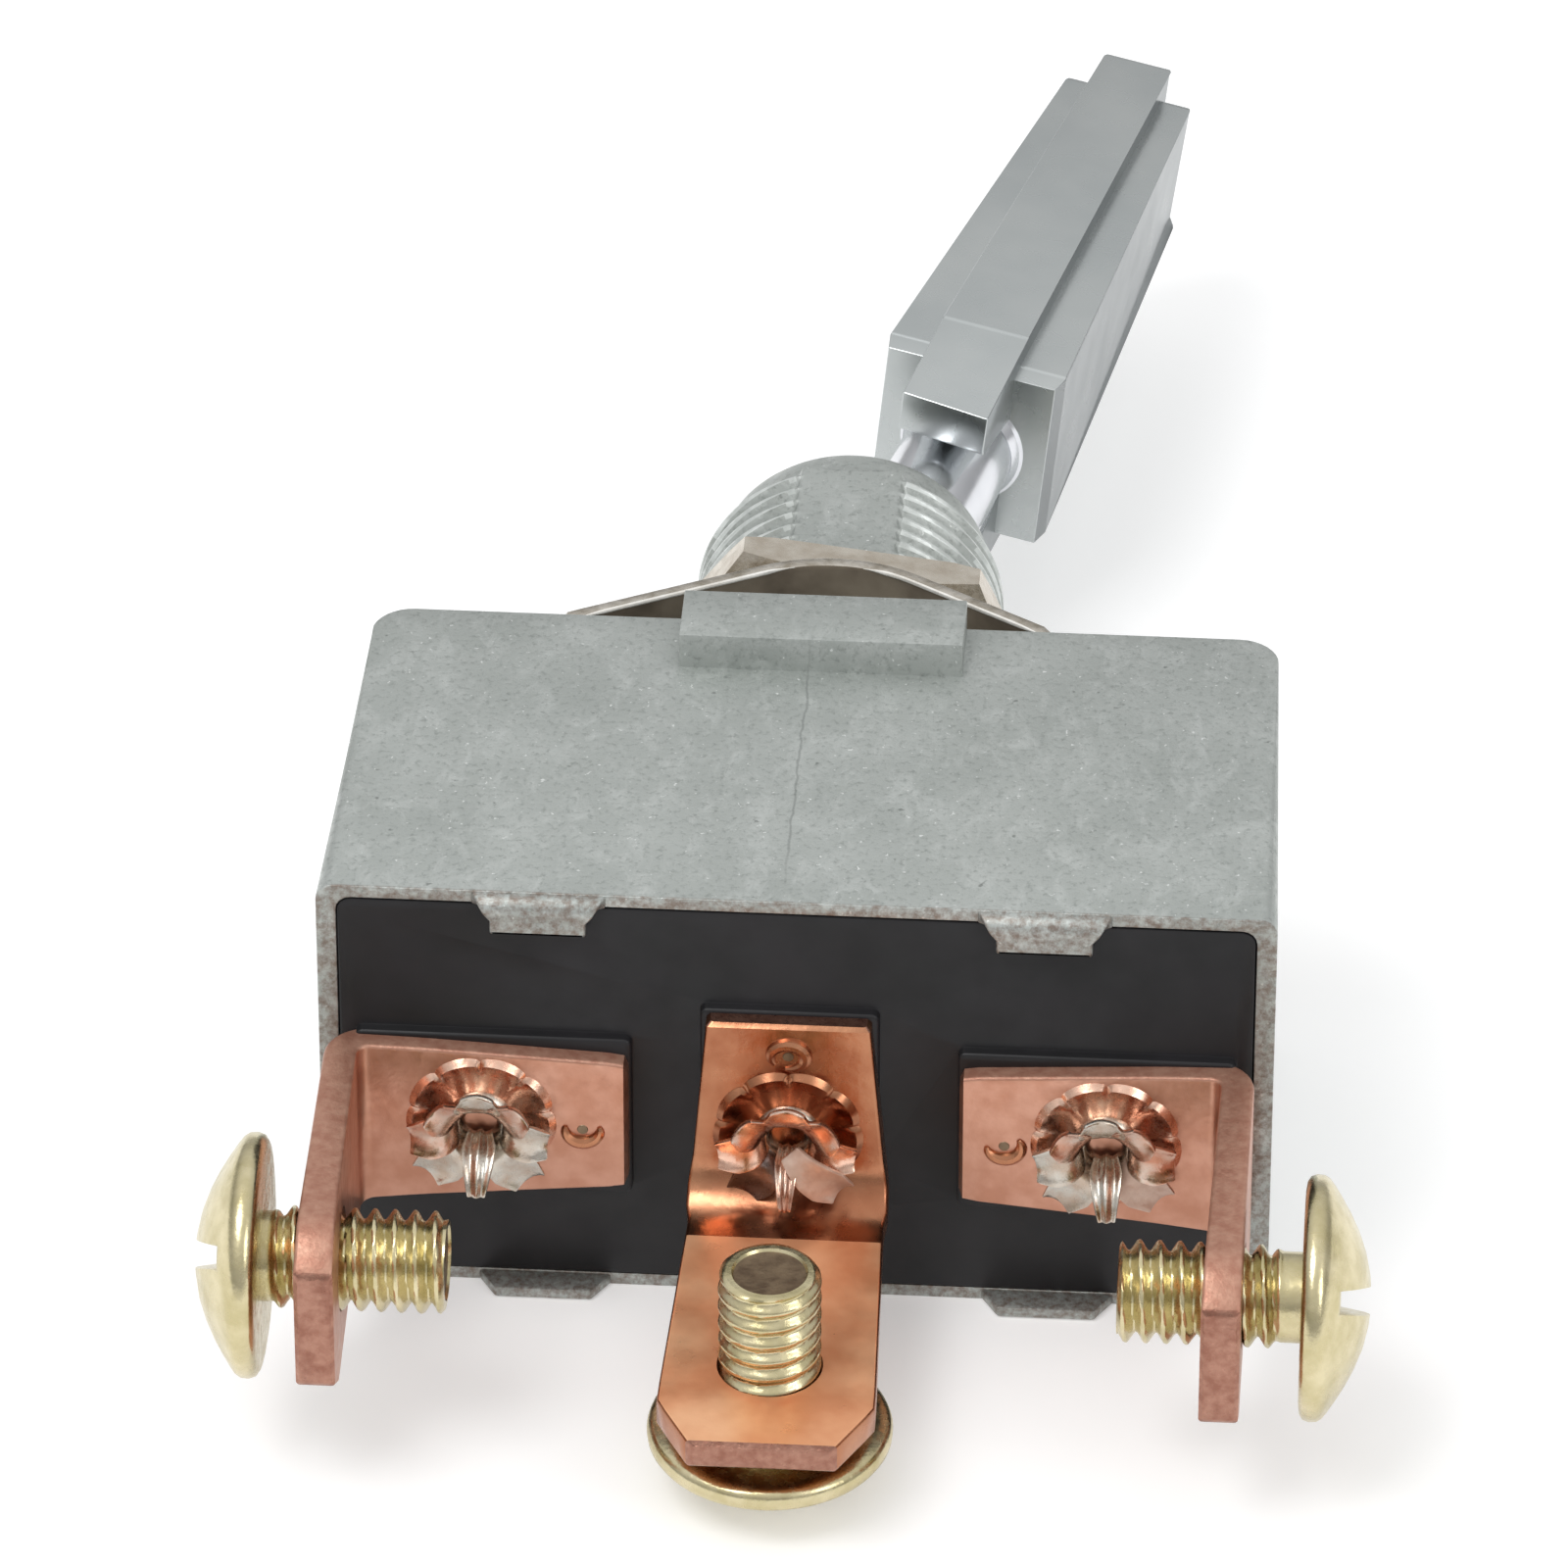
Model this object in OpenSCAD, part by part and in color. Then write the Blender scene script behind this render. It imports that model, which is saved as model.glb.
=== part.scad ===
// Heavy-duty panel toggle switch, single pole, double throw, three screw terminals.
// It lies on its back: +Y runs up the bushing to the handle, +Z out of the front face.
// Origin: on the bushing axis, in the plane where a panel rests on the nut.

/* [Housing] */
// Width of the case at its open end
case_w = 38; // [36:0.5:42]
// Thickness of the case, front face to back face
case_t = 19.2; // [18:0.2:22]
// Depth of the case, shoulder to open end
case_d = 19.65; // [19.15:0.1:22]
// Narrowing of each side wall towards the bushing
case_draft = 0.6; // [0:0.1:0.8]
// Thickness of the side walls at the open end
wall = 0.8; // [0.7:0.1:1]
// Thickness of the shoulder wall
shoulder_wall = 1.6; // [1.4:0.1:2]
// Width, length and height of the raised pad on the front face
pad = [11.5, 3.25, 1.4];

/* [Bushing] */
// Outside radius of the bushing's thread
bushing_r = 6.5; // [6.3:0.05:6.6]
// Height of the bushing over the shoulder
bushing_h = 18.75; // [17.75:0.1:20.65]
// Length of the unthreaded nose
nose_h = 2.1; // [1.5:0.1:2.5]
// Radius of the nose at the mouth
nose_r = 5.6; // [5.5:0.05:5.8]
// Width of the flats that interrupt the thread, front and back
flat_w = 4.3; // [3:0.1:4.6]

/* [Panel hardware] */
// Width across the flats of the nut
nut_af = 17; // [16:0.5:18]
// Thickness of the nut
nut_t = 2.1; // [2:0.1:2.4]
// Clockwise turn of the nut, seen from the terminals
nut_turn = 7; // [0:1:30]
// Thickness of the bowed washer
washer_t = 0.55; // [0.3:0.05:0.6]
// Slope of the washer's left wing
washer_left = 27; // [25:0.5:30]
// Slope of the washer's right wing
washer_right = 32.5; // [30:0.5:34]

/* [Lever] */
// Lean of the handle to each side of centre
lever_lean = 13.4; // [12:0.2:15]
// Turn of the handle about its own stem
lever_twist = 6; // [0:1:10]
// Radius of the stem
stem_r = 2.4; // [2:0.1:2.4]
// Distance from the pivot to the tip of the handle
lever_reach = 43.9; // [38:0.1:46]
// Radius of the pivot ball
ball_r = 4; // [3.8:0.1:4]

/* [Terminals] */
// Thickness of the copper strip
strip_t = 1.25; // [1:0.05:1.4]
// Distance of the outer rivets from the centre
pole_x = 12.45; // [12:0.05:12.6]
// Outer face of the left terminal's leg
leg_x_left = 18.6; // [18.2:0.1:19]
// Outer face of the right terminal's leg
leg_x_right = 18.25; // [18:0.05:19]
// Length of the outer legs, measured from the base
outer_leg = 14.9; // [14:0.1:16]
// Length of the centre leg, measured from the base
center_leg = 17.2; // [17:0.1:18.5]

/* [Terminal screws] */
// Radius of the screw head
head_r = 4.85; // [4.5:0.05:5]
// Height of the screw head
head_h = 2.7; // [2.4:0.1:2.8]
// Radius of the screw's thread
screw_r = 2.03; // [2:0.01:2.05]
// Length of the screw under its head
screw_l = 7.2; // [7:0.1:8]

/* [Contacts] */
// Tilt of the moving blade to each side of centre
blade_rock = 8; // [6:1:8]
// Thickness of the moving blade
blade_t = 1.2; // [1:0.1:1.3]

/* [Hidden] */
$fn = 64;
eps = 0.01;
fit_gap = 0.05;

// Stations along Y
washer_rise = 4.55;
crown_r = 6.55;
shoulder_y = -nut_t - washer_t - washer_rise;
open_y = shoulder_y - case_d;
base_y = open_y - 0.02;
mouth_y = shoulder_y + bushing_h;
thread_top_y = mouth_y - nose_h;
roof_y = shoulder_y - shoulder_wall;
ledge_y = base_y + 4.35;
floor_y = ledge_y + 0.75;

// Case
half_w = case_w / 2;
half_t = case_t / 2;
edge_r = 1;
corner_r = 1.4;
cavity = [2 * (half_w - case_draft - wall), case_t - 2.4];
seat = [case_w - 2 * wall, case_t - 1.1];
tab_x = 10.1;
tab_root = 5.3;
tab_tip = 3.8;
tab_t = 0.8;
back_tab_t = 0.5;

// Pivot and the lever's tail
pivot_y = 4;
pin_r = 1;
pin_half = 5.3;
tail_r = 2.5;
tail_l = 13.5;
tail_bore_r = 1.75;
tail_bore_top = 2.4;
plunger_r = tail_bore_r - fit_gap;
plunger_reach = 16.9;
plunger_l = 8;
neck_r = 3.2;

// Handle
wing_start = 17.4;
wing_end = lever_reach - 1.15;
rib_start = 12.9;
wing_half = [3.95, 2.87];
wing_depth = [4.1, 3.1];
rib_half = [1.95, 1.62];
rib_depth = [5.1, 4.1];

// Blade assembly
hinge_y = floor_y + 5.1;
blade_pin_r = 0.9;
blade_top = -1.6;
blade_w = 6.6;
blade_reach = 14.7;
tip_t = 0.8;
tip_r = 2;
carrier_half = 6.1;
carrier_top = 6.2;
rivet_r = 1.5;
pole_z = -0.6;
center_pole_z = -0.7;
rivet_head_t = 0.7;
closed_gap = 0.02;
ear_t = 1;
cradle_t = 0.8;

// Where the plunger's round end sits, seen from the blade's hinge, with the lever
// leaning one way and upright
plunger_ball = plunger_reach - plunger_r;
drop = pivot_y - hinge_y;
ball_side = rock_back([-plunger_ball * sin(lever_lean), drop - plunger_ball * cos(lever_lean)]);
ball_mid = drop - plunger_ball;
sagitta = ball_side[1] - ball_mid;
path_r = (ball_side[0] * ball_side[0] + sagitta * sagitta) / (2 * sagitta);
trough_r = path_r + plunger_r + fit_gap;
trough_y = ball_mid + path_r;

// Terminals
plate_y = base_y - strip_t;
bend_r = 1.2;
outer_hole = [-10.15, -1.1];
center_hole_y = 12.03;
center_top_z = -4;
hole_r = screw_r + fit_gap;

// Screws
head_x_left = 20.2;
head_x_right = 20.52;
center_end_z = 0.55;
slot_w = 1;
slot_d = 1.1;
slot_tilt = 55;

// A point on the blade's right arm: along it, and above the hinge's level, before tilting
function arm_point(along, up) = [along * cos(blade_rock) - up * sin(blade_rock),
                                 along * sin(blade_rock) + up * cos(blade_rock)];

// A vector turned back by the blade's tilt
function rock_back(v) = [v[0] * cos(blade_rock) + v[1] * sin(blade_rock),
                         -v[0] * sin(blade_rock) + v[1] * cos(blade_rock)];

// A cylinder along +Y that starts at y
module rod_y(r, h, y = 0) {
    translate([0, y, 0]) rotate([-90, 0, 0]) cylinder(r = r, h = h);
}

// A cone along +Y that starts at y
module cone_y(r1, r2, h, y = 0) {
    translate([0, y, 0]) rotate([-90, 0, 0]) cylinder(r1 = r1, r2 = r2, h = h);
}

// A box centred on X and Z that runs from y0 to y1
module block_y(w, t, y0, y1) {
    translate([-w / 2, y0, -t / 2]) cube([w, y1 - y0, t]);
}

// A shape drawn in X and Z, with thickness from y0 to y1
module slab_y(y0, y1) {
    translate([0, y1, 0]) rotate([90, 0, 0]) linear_extrude(y1 - y0) children();
}

// A shape drawn in Y and Z, with thickness from x0 to x1
module slab_x(x0, x1) {
    translate([x0, 0, 0]) rotate([90, 0, 90]) linear_extrude(x1 - x0) children();
}

// A bar along +Y whose width and depth both taper in straight lines
module tapered_bar(start, end, half, depth) {
    intersection() {
        translate([0, 0, -depth[0] - 1]) linear_extrude(2 * depth[0] + 2)
            polygon([[-half[0], start], [half[0], start], [half[1], end], [-half[1], end]]);
        slab_x(-half[0] - 1, half[0] + 1)
            polygon([[start, -depth[0]], [end, -depth[1]], [end, depth[1]], [start, depth[0]]]);
    }
}

module case_block() {
    back_x = half_w - case_draft - corner_r;
    hull() {
        for (sx = [-1, 1], sz = [-1, 1]) {
            translate([sx * back_x, shoulder_y - corner_r, sz * (half_t - corner_r)])
                sphere(r = corner_r, $fn = 32);
            translate([sx * (half_w - edge_r), open_y, sz * (half_t - edge_r)])
                rotate([-90, 0, 0]) cylinder(r = edge_r, h = 0.5, $fn = 32);
        }
    }
}

module trapezoid_tab(length) {
    polygon([[-tab_root / 2, 0], [tab_root / 2, 0], [tab_tip / 2, -length], [-tab_tip / 2, -length]]);
}

module crimp_tabs() {
    for (side = [-1, 1]) {
        slab_y(base_y - tab_t, base_y - fit_gap)
            translate([side * tab_x, half_t]) trapezoid_tab(1.55);
        translate([side * tab_x - tab_root / 2, base_y - 0.1, half_t - back_tab_t])
            cube([tab_root, 0.2, back_tab_t]);
        translate([side * tab_x, open_y + eps, -half_t])
            linear_extrude(back_tab_t) trapezoid_tab(1.2);
    }
}

// The room inside the bushing for the ball, the pivot pin and the swinging tail
module lever_way() {
    rod_y(ball_r + fit_gap, pivot_y - roof_y + eps, roof_y - eps);
    translate([0, pivot_y, 0]) sphere(r = ball_r + fit_gap);
    cone_y(neck_r, nose_r - 1, mouth_y - pivot_y - 2 + eps, pivot_y + 2);
    translate([0, 0, -tail_r - 0.2]) linear_extrude(2 * tail_r + 0.4)
        polygon([[-3.2, 2], [3.2, 2], [6, roof_y - eps], [-6, roof_y - eps]]);
    translate([-pin_r - fit_gap, roof_y - eps, -pin_half - 0.1])
        cube([2 * (pin_r + fit_gap), pivot_y - roof_y + eps, 2 * pin_half + 0.2]);
    translate([0, pivot_y, -pin_half - 0.1])
        cylinder(r = pin_r + fit_gap, h = 2 * pin_half + 0.2);
}

module bushing() {
    flat_z = sqrt(bushing_r * bushing_r - flat_w * flat_w / 4);
    groove = 0.6;
    intersection() {
        union() {
            rod_y(bushing_r, -groove - shoulder_y + 1, shoulder_y - 1);
            rod_y(bushing_r - 0.3, groove + 2 * eps, -groove - eps);
            rod_y(bushing_r, thread_top_y);
            cone_y(bushing_r - 0.35, nose_r, nose_h, thread_top_y);
        }
        block_y(4 * bushing_r, 2 * flat_z, shoulder_y - 2, mouth_y + 1);
    }
}

module housing() color("lightslategray") {
    difference() {
        union() {
            case_block();
            bushing();
            block_y(cavity[0], cavity[1], roof_y, shoulder_y - 0.5);
            translate([-pad[0] / 2, shoulder_y - pad[1], half_t - 1])
                cube([pad[0], pad[1], pad[2] + 1]);
        }
        block_y(cavity[0], cavity[1], open_y - 1, roof_y);
        block_y(seat[0], seat[1], open_y - 1, ledge_y);
        lever_way();
    }
    crimp_tabs();
}

module terminal_base() color("#2f2e30") {
    difference() {
        union() {
            block_y(seat[0] - 0.1, seat[1] - 0.1, base_y, ledge_y);
            block_y(cavity[0] - 1.2, cavity[1] - 1.2, ledge_y - eps, floor_y);
        }
        for (at = [[-pole_x, pole_z], [0, center_pole_z], [pole_x, pole_z]]) {
            translate([at[0], 0, at[1]]) rod_y(rivet_r, floor_y - base_y + 2, base_y - 1);
        }
    }
}

module insulating_liner() color("burlywood") {
    difference() {
        block_y(cavity[0] - 0.1, cavity[1] - 0.1, ledge_y + eps, roof_y - fit_gap);
        block_y(cavity[0] - 1.1, cavity[1] - 1.1, ledge_y - 1, roof_y + 1);
    }
}

// The edge-on outline of a strip bent at a right angle: its plate lies along the first
// axis, and its leg runs down the second. The origin is the leg's outer corner.
module bent_strip(plate, leg) {
    outer_r = bend_r * 0.8;
    difference() {
        union() {
            translate([-plate, -strip_t]) square([plate - outer_r, strip_t]);
            translate([-strip_t, -leg]) square([strip_t, leg - outer_r]);
            intersection() {
                translate([-outer_r, -outer_r]) circle(r = outer_r);
                translate([-outer_r, -outer_r]) square(outer_r);
            }
            translate([-strip_t - bend_r, -strip_t - bend_r])
                square([strip_t + bend_r - outer_r, bend_r + strip_t]);
            translate([-strip_t, -outer_r - bend_r - strip_t]) square([strip_t, bend_r + strip_t]);
        }
        translate([-strip_t - bend_r, -strip_t - bend_r]) circle(r = bend_r);
        translate([-strip_t - 2 * bend_r, -strip_t - 2 * bend_r])
            square([2 * bend_r, bend_r]);
        translate([-strip_t - 2 * bend_r, -strip_t - 2 * bend_r])
            square([bend_r, 2 * bend_r]);
    }
}

// One outer terminal, drawn on the right: the leg's outer face is at leg_x
module outer_terminal(leg_x) {
    z_low = -5;
    z_high = 2.8;
    inner_x = 6.6;
    tip_y = base_y - outer_leg;
    difference() {
        intersection() {
            translate([leg_x, base_y, z_low]) linear_extrude(z_high - z_low)
                bent_strip(leg_x - inner_x, outer_leg);
            union() {
                slab_y(plate_y - eps, base_y + eps)
                    polygon([[inner_x, -3.75], [leg_x - 2, -4.7], [leg_x, z_low], [leg_x, z_high],
                             [leg_x - 2, z_high], [inner_x, 2.3]]);
                slab_x(leg_x - strip_t - bend_r, leg_x + eps)
                    polygon([[plate_y + eps, z_low], [plate_y + eps, z_high], [tip_y + 2.1, z_high],
                             [tip_y, z_high - 1.5], [tip_y, z_low + 1.5], [tip_y + 2.1, z_low]]);
            }
        }
        translate([leg_x - 2, base_y + outer_hole[0], outer_hole[1]])
            rotate([0, 90, 0]) cylinder(r = hole_r, h = 3);
        translate([pole_x, 0, pole_z]) rod_y(rivet_r, 3, plate_y - 1);
    }
}

module terminal_right() color("rosybrown") outer_terminal(leg_x_right);

module terminal_left() color("rosybrown") mirror([1, 0, 0]) outer_terminal(leg_x_left);

module terminal_center() color("peru") {
    top_z = 4.5;
    low_z = center_top_z - strip_t;
    tip_y = base_y - center_leg;
    difference() {
        intersection() {
            slab_x(-5, 5) translate([base_y, low_z]) rotate(-90)
                bent_strip(top_z - low_z, center_leg);
            union() {
                slab_y(plate_y - bend_r, base_y + eps)
                    polygon([[-3.9, low_z], [3.9, low_z], [3.25, top_z], [-3.25, top_z]]);
                translate([0, 0, low_z - eps]) linear_extrude(strip_t + bend_r)
                    polygon([[-3.9, base_y], [3.9, base_y], [4.25, tip_y + 2.6], [2.9, tip_y],
                             [-2.9, tip_y], [-4.25, tip_y + 2.6]]);
            }
        }
        translate([0, base_y - center_hole_y, low_z - 1]) cylinder(r = hole_r, h = 4);
        translate([0, 0, center_pole_z]) rod_y(rivet_r, 3, plate_y - 1);
    }
}

// A tubular rivet through the base: flared collar on the terminal, head at head_y inside
module rivet(x, z, head_y) {
    color("silver") translate([x, 0, z]) difference() {
        union() {
            rod_y(rivet_r, head_y - plate_y + 0.2, plate_y - 0.1);
            rod_y(2.7, rivet_head_t, head_y);
            cone_y(2.7, 2.2, 0.7, plate_y - 0.7);
        }
        rod_y(1, 4.5, plate_y - 0.8);
    }
}

module rivet_left() rivet(-pole_x, pole_z, floor_y);

module rivet_right() rivet(pole_x, pole_z, floor_y);

module rivet_center() rivet(0, center_pole_z, floor_y + cradle_t);

module fixed_contact() {
    contact_y = hinge_y + blade_top - blade_t - tip_t - closed_gap;
    color("gainsboro") rod_y(2.4, contact_y - floor_y - rivet_head_t, floor_y + rivet_head_t);
}

module fixed_contact_left() translate([-pole_x, 0, pole_z]) fixed_contact();

module fixed_contact_right() translate([pole_x, 0, pole_z]) fixed_contact();

module fulcrum() color("peru") {
    ear_in = blade_w / 2 + 0.3;
    difference() {
        union() {
            block_y(7, 2 * (ear_in + ear_t), floor_y, floor_y + cradle_t);
            for (side = [-1, 1]) {
                translate([0, 0, side * (ear_in + ear_t / 2)]) {
                    block_y(4.4, ear_t, floor_y, hinge_y);
                    translate([0, hinge_y, -ear_t / 2]) cylinder(r = 2.2, h = ear_t);
                }
            }
        }
        translate([0, hinge_y, -10]) cylinder(r = blade_pin_r, h = 20);
        translate([0, 0, center_pole_z]) rod_y(rivet_r, 4, floor_y - 1);
    }
}

module blade_pin() color("silver")
    translate([0, hinge_y, 0]) cylinder(r = blade_pin_r, h = blade_w + 3, center = true);

// Places a blade piece, drawn level about its hinge, as it rests with the left end down
module at_blade() {
    translate([0, hinge_y, 0]) rotate([0, 0, blade_rock]) children();
}

// The blade is a shallow V, so each arm lies level when its own side is closed
module contact_blade() color("peru") at_blade() {
    low = blade_top - blade_t;
    middle_top = blade_top / cos(blade_rock);
    middle_low = low / cos(blade_rock);
    end_top = arm_point(blade_reach, blade_top);
    end_low = arm_point(blade_reach, low);
    translate([0, 0, -blade_w / 2]) linear_extrude(blade_w)
        polygon([[0, middle_low], end_low, end_top, [0, middle_top],
                 [-end_top[0], end_top[1]], [-end_low[0], end_low[1]]]);
}

module blade_tip() {
    color("gainsboro") rotate([0, 0, blade_rock])
        translate([pole_x, 0, pole_z]) rod_y(tip_r, tip_t, blade_top - blade_t - tip_t);
}

module blade_tip_left() at_blade() mirror([1, 0, 0]) blade_tip();

module blade_tip_right() at_blade() blade_tip();

module blade_carrier() color("saddlebrown") at_blade() {
    rise = tan(blade_rock) * carrier_half;
    low = blade_top / cos(blade_rock) + eps;
    difference() {
        translate([0, 0, -blade_w / 2]) linear_extrude(blade_w)
            polygon([[0, low], [carrier_half, low + rise], [carrier_half, carrier_top],
                     [-carrier_half, carrier_top], [-carrier_half, low + rise]]);
        translate([0, trough_y, -blade_w]) cylinder(r = trough_r, h = 2 * blade_w);
        translate([0, 0, -blade_w]) cylinder(r = blade_pin_r + fit_gap, h = 2 * blade_w);
    }
}

// Places a lever piece, drawn upright with its pivot at the origin
module at_lever() {
    translate([0, pivot_y, 0]) rotate([0, 0, -lever_lean]) children();
}

module lever() color("lightsteelblue") at_lever() difference() {
    union() {
        sphere(r = ball_r);
        rod_y(tail_r, tail_l, -tail_l);
        rod_y(stem_r, wing_start + 2);
        rotate([0, lever_twist, 0]) {
            tapered_bar(wing_start, wing_end, wing_half, wing_depth);
            tapered_bar(rib_start, lever_reach, rib_half, rib_depth);
        }
    }
    rod_y(tail_bore_r, tail_l - tail_bore_top + eps, -tail_l - eps);
    cylinder(r = pin_r, h = 3 * ball_r, center = true);
}

module pivot_pin() color("silver")
    translate([0, pivot_y, 0]) cylinder(r = pin_r, h = 2 * pin_half, center = true);

module plunger() color("ivory") at_lever() {
    translate([0, -plunger_ball, 0]) sphere(r = plunger_r);
    rod_y(plunger_r, plunger_l, -plunger_ball);
}

// A round wire wound into a helix along +Y, as one closed surface
module coil(r, wire_r, pitch, turns) {
    sides = 8;
    steps = 20;
    rings = steps * turns;
    points = [for (i = [0:rings], j = [0:sides - 1])
        let (a = 360 * i / steps, b = 360 * j / sides, rr = r + wire_r * cos(b))
            [rr * cos(a), pitch * i / steps + wire_r * sin(b), -rr * sin(a)]];
    walls = [for (i = [0:rings - 1], j = [0:sides - 1])
        let (k = (j + 1) % sides)
            [i * sides + j, i * sides + k, (i + 1) * sides + k, (i + 1) * sides + j]];
    ends = [[for (j = [sides - 1:-1:0]) j], [for (j = [0:sides - 1]) rings * sides + j]];
    polyhedron(points = points, faces = concat(walls, ends));
}

module plunger_spring() {
    wire_r = 0.25;
    turns = 5;
    spring_low = -plunger_ball + plunger_l + 0.02;
    pitch = (-tail_bore_top - spring_low - 2 * wire_r - 0.02) / turns;
    color("silver") at_lever()
        translate([0, spring_low + wire_r, 0]) coil(tail_bore_r - wire_r - 0.1, wire_r, pitch, turns);
}

module hex_nut() color("tan") difference() {
    rotate([0, nut_turn, 0]) rotate([90, 0, 0])
        cylinder(r = nut_af / sqrt(3), h = nut_t, $fn = 6);
    rod_y(bushing_r + fit_gap, nut_t + 2, -nut_t - 1);
}

// A point of the washer's outline: angle is measured from its crown, r from the crown's centre
function crown_point(angle, r) = [r * sin(angle), r * cos(angle) - crown_r];

// Distance from the crown at which a face of the washer comes down by drop
function toe_x(slope, r, drop) = r * sin(slope) + (drop - crown_r + r * cos(slope)) / tan(slope);

module lock_washer() color("darkkhaki") {
    inner_r = crown_r - washer_t;
    drop = washer_rise + washer_t - 2 * eps;
    sweep = washer_left + washer_right;
    blunt = 0.2;
    end_left = -toe_x(washer_left, crown_r, drop) + blunt;
    end_right = toe_x(washer_right, crown_r, drop) - blunt;
    outline = concat([[toe_x(washer_right, inner_r, drop), -drop], [end_right, -drop],
                      [end_right, blunt * tan(washer_right) - drop]],
                     [for (k = [0:12]) crown_point(washer_right - k * sweep / 12, crown_r)],
                     [[end_left, blunt * tan(washer_left) - drop], [end_left, -drop],
                      [-toe_x(washer_left, inner_r, drop), -drop]],
                     [for (k = [0:12]) crown_point(k * sweep / 12 - washer_left, inner_r)]);
    difference() {
        translate([0, -nut_t - eps, 0.2 - half_t]) linear_extrude(case_t - 0.4) polygon(outline);
        rod_y(bushing_r + 0.25, 12, -12);
    }
}

// A slotted screw along +Z: its head stands on the plane z = 0 and its shank hangs below
module slotted_screw(turn) {
    rim = 0.5;
    dome_h = head_h - rim;
    dome_r = (head_r * head_r + dome_h * dome_h) / (2 * dome_h);
    color("darkkhaki") {
        difference() {
            intersection() {
                cylinder(r = head_r, h = head_h);
                translate([0, 0, head_h - dome_r]) sphere(r = dome_r, $fn = 96);
            }
            rotate([0, 0, turn]) translate([-head_r - 1, -slot_w / 2, head_h - slot_d])
                cube([2 * head_r + 2, slot_w, slot_d + 1]);
        }
        translate([0, 0, -screw_l]) cylinder(r = screw_r, h = screw_l + eps);
    }
}

module side_screw(side, head_x) {
    translate([side * head_x, base_y + outer_hole[0], outer_hole[1]])
        rotate([0, side * 90, 0]) slotted_screw(90 - side * (90 - slot_tilt));
}

module screw_left() side_screw(-1, head_x_left);

module screw_right() side_screw(1, head_x_right);

module screw_center() {
    translate([0, base_y - center_hole_y, center_end_z - screw_l])
        rotate([180, 0, 0]) slotted_screw(25);
}

housing();
terminal_base();
insulating_liner();
terminal_left();
terminal_right();
terminal_center();
rivet_left();
rivet_right();
rivet_center();
fixed_contact_left();
fixed_contact_right();
fulcrum();
blade_pin();
contact_blade();
blade_tip_left();
blade_tip_right();
blade_carrier();
lever();
pivot_pin();
plunger();
plunger_spring();
hex_nut();
lock_washer();
screw_left();
screw_right();
screw_center();
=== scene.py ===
"""Looks of the panel toggle switch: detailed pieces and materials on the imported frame.

Shapes are drawn in millimetres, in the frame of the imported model, and scaled once.
"""

import math

import bmesh
import bpy
import numpy as np
from mathutils import Matrix, Vector


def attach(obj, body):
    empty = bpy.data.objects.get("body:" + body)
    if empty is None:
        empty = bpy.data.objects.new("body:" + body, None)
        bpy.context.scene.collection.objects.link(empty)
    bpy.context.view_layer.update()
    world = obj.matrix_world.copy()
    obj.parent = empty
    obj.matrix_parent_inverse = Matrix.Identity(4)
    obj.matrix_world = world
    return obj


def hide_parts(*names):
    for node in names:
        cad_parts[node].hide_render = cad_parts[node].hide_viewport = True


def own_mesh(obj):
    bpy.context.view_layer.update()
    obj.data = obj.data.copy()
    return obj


MM = 0.001

# Places and sizes that the CAD source has too, in millimetres and degrees
SHOULDER = -7.2  # the case's end face round the bushing
OPEN_END = -26.85  # the case's rim
CASE_HALF_W = 19.0
CASE_HALF_T = 9.6
CASE_DRAFT = 0.6
PAD_TOP = 11.0
BASE_FACE = -26.87  # outer face of the moulded base
FLOOR_IN = -21.77  # inner face of the base
BUSHING_FLAT = 6.13  # from the bushing's axis to its flats
THREAD_TOP = 9.45
MOUTH = 11.55  # the bushing's end
PIVOT = 4.0  # centre of the lever's ball
LEAN = 13.4  # of the lever at rest
TWIST = 6.0  # of the handle about its own axis
NUT_HALF_FLATS = 8.5
NUT_T = 2.1
NUT_TURN = 7.0
WASHER_T = 0.55
WASHER_CROWN_R = 6.55  # of the bow's upper face
POLE_X = 12.45  # the outer rivets
RIVET_Z = -0.6
CENTER_RIVET_Z = -0.7
STRIP_T = 1.25
PLATE_FACE = BASE_FACE - STRIP_T
OUTER_LEG = 14.9
CENTER_LEG = 17.2
CENTER_TOP_Z = -4.0  # upper face of the centre leg
SCREW_Y = BASE_FACE - 10.15
SCREW_Z = -1.1
CENTER_SCREW_Y = BASE_FACE - 12.03
CENTER_END_Z = 0.55  # the centre screw's end
SCREW_R = 2.03
SCREW_LENGTH = 7.2

# Details of the looks alone
BUSHING_PITCH = 0.907
SCREW_PITCH = 0.794
SCREW_HOLE_R = 2.09
CENTER_X = -0.2  # the centre terminal sits a little to one side
FLOOR_Z = -CASE_HALF_T

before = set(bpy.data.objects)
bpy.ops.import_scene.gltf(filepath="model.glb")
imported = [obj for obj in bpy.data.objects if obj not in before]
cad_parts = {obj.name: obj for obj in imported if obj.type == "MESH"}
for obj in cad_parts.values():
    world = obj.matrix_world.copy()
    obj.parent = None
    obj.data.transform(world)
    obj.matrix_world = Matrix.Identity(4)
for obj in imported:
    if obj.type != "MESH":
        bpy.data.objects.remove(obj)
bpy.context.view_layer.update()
scene = bpy.context.scene


# ---------------------------------------------------------------- materials


def add_node(tree, kind, inputs=None, **props):
    """A node with its properties set and its inputs set or linked."""
    node = tree.nodes.new(kind)
    for key, value in props.items():
        setattr(node, key, value)
    for key, value in (inputs or {}).items():
        socket = node.inputs[key]
        if isinstance(value, bpy.types.NodeSocket):
            tree.links.new(value, socket)
        else:
            socket.default_value = value
    return node


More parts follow.
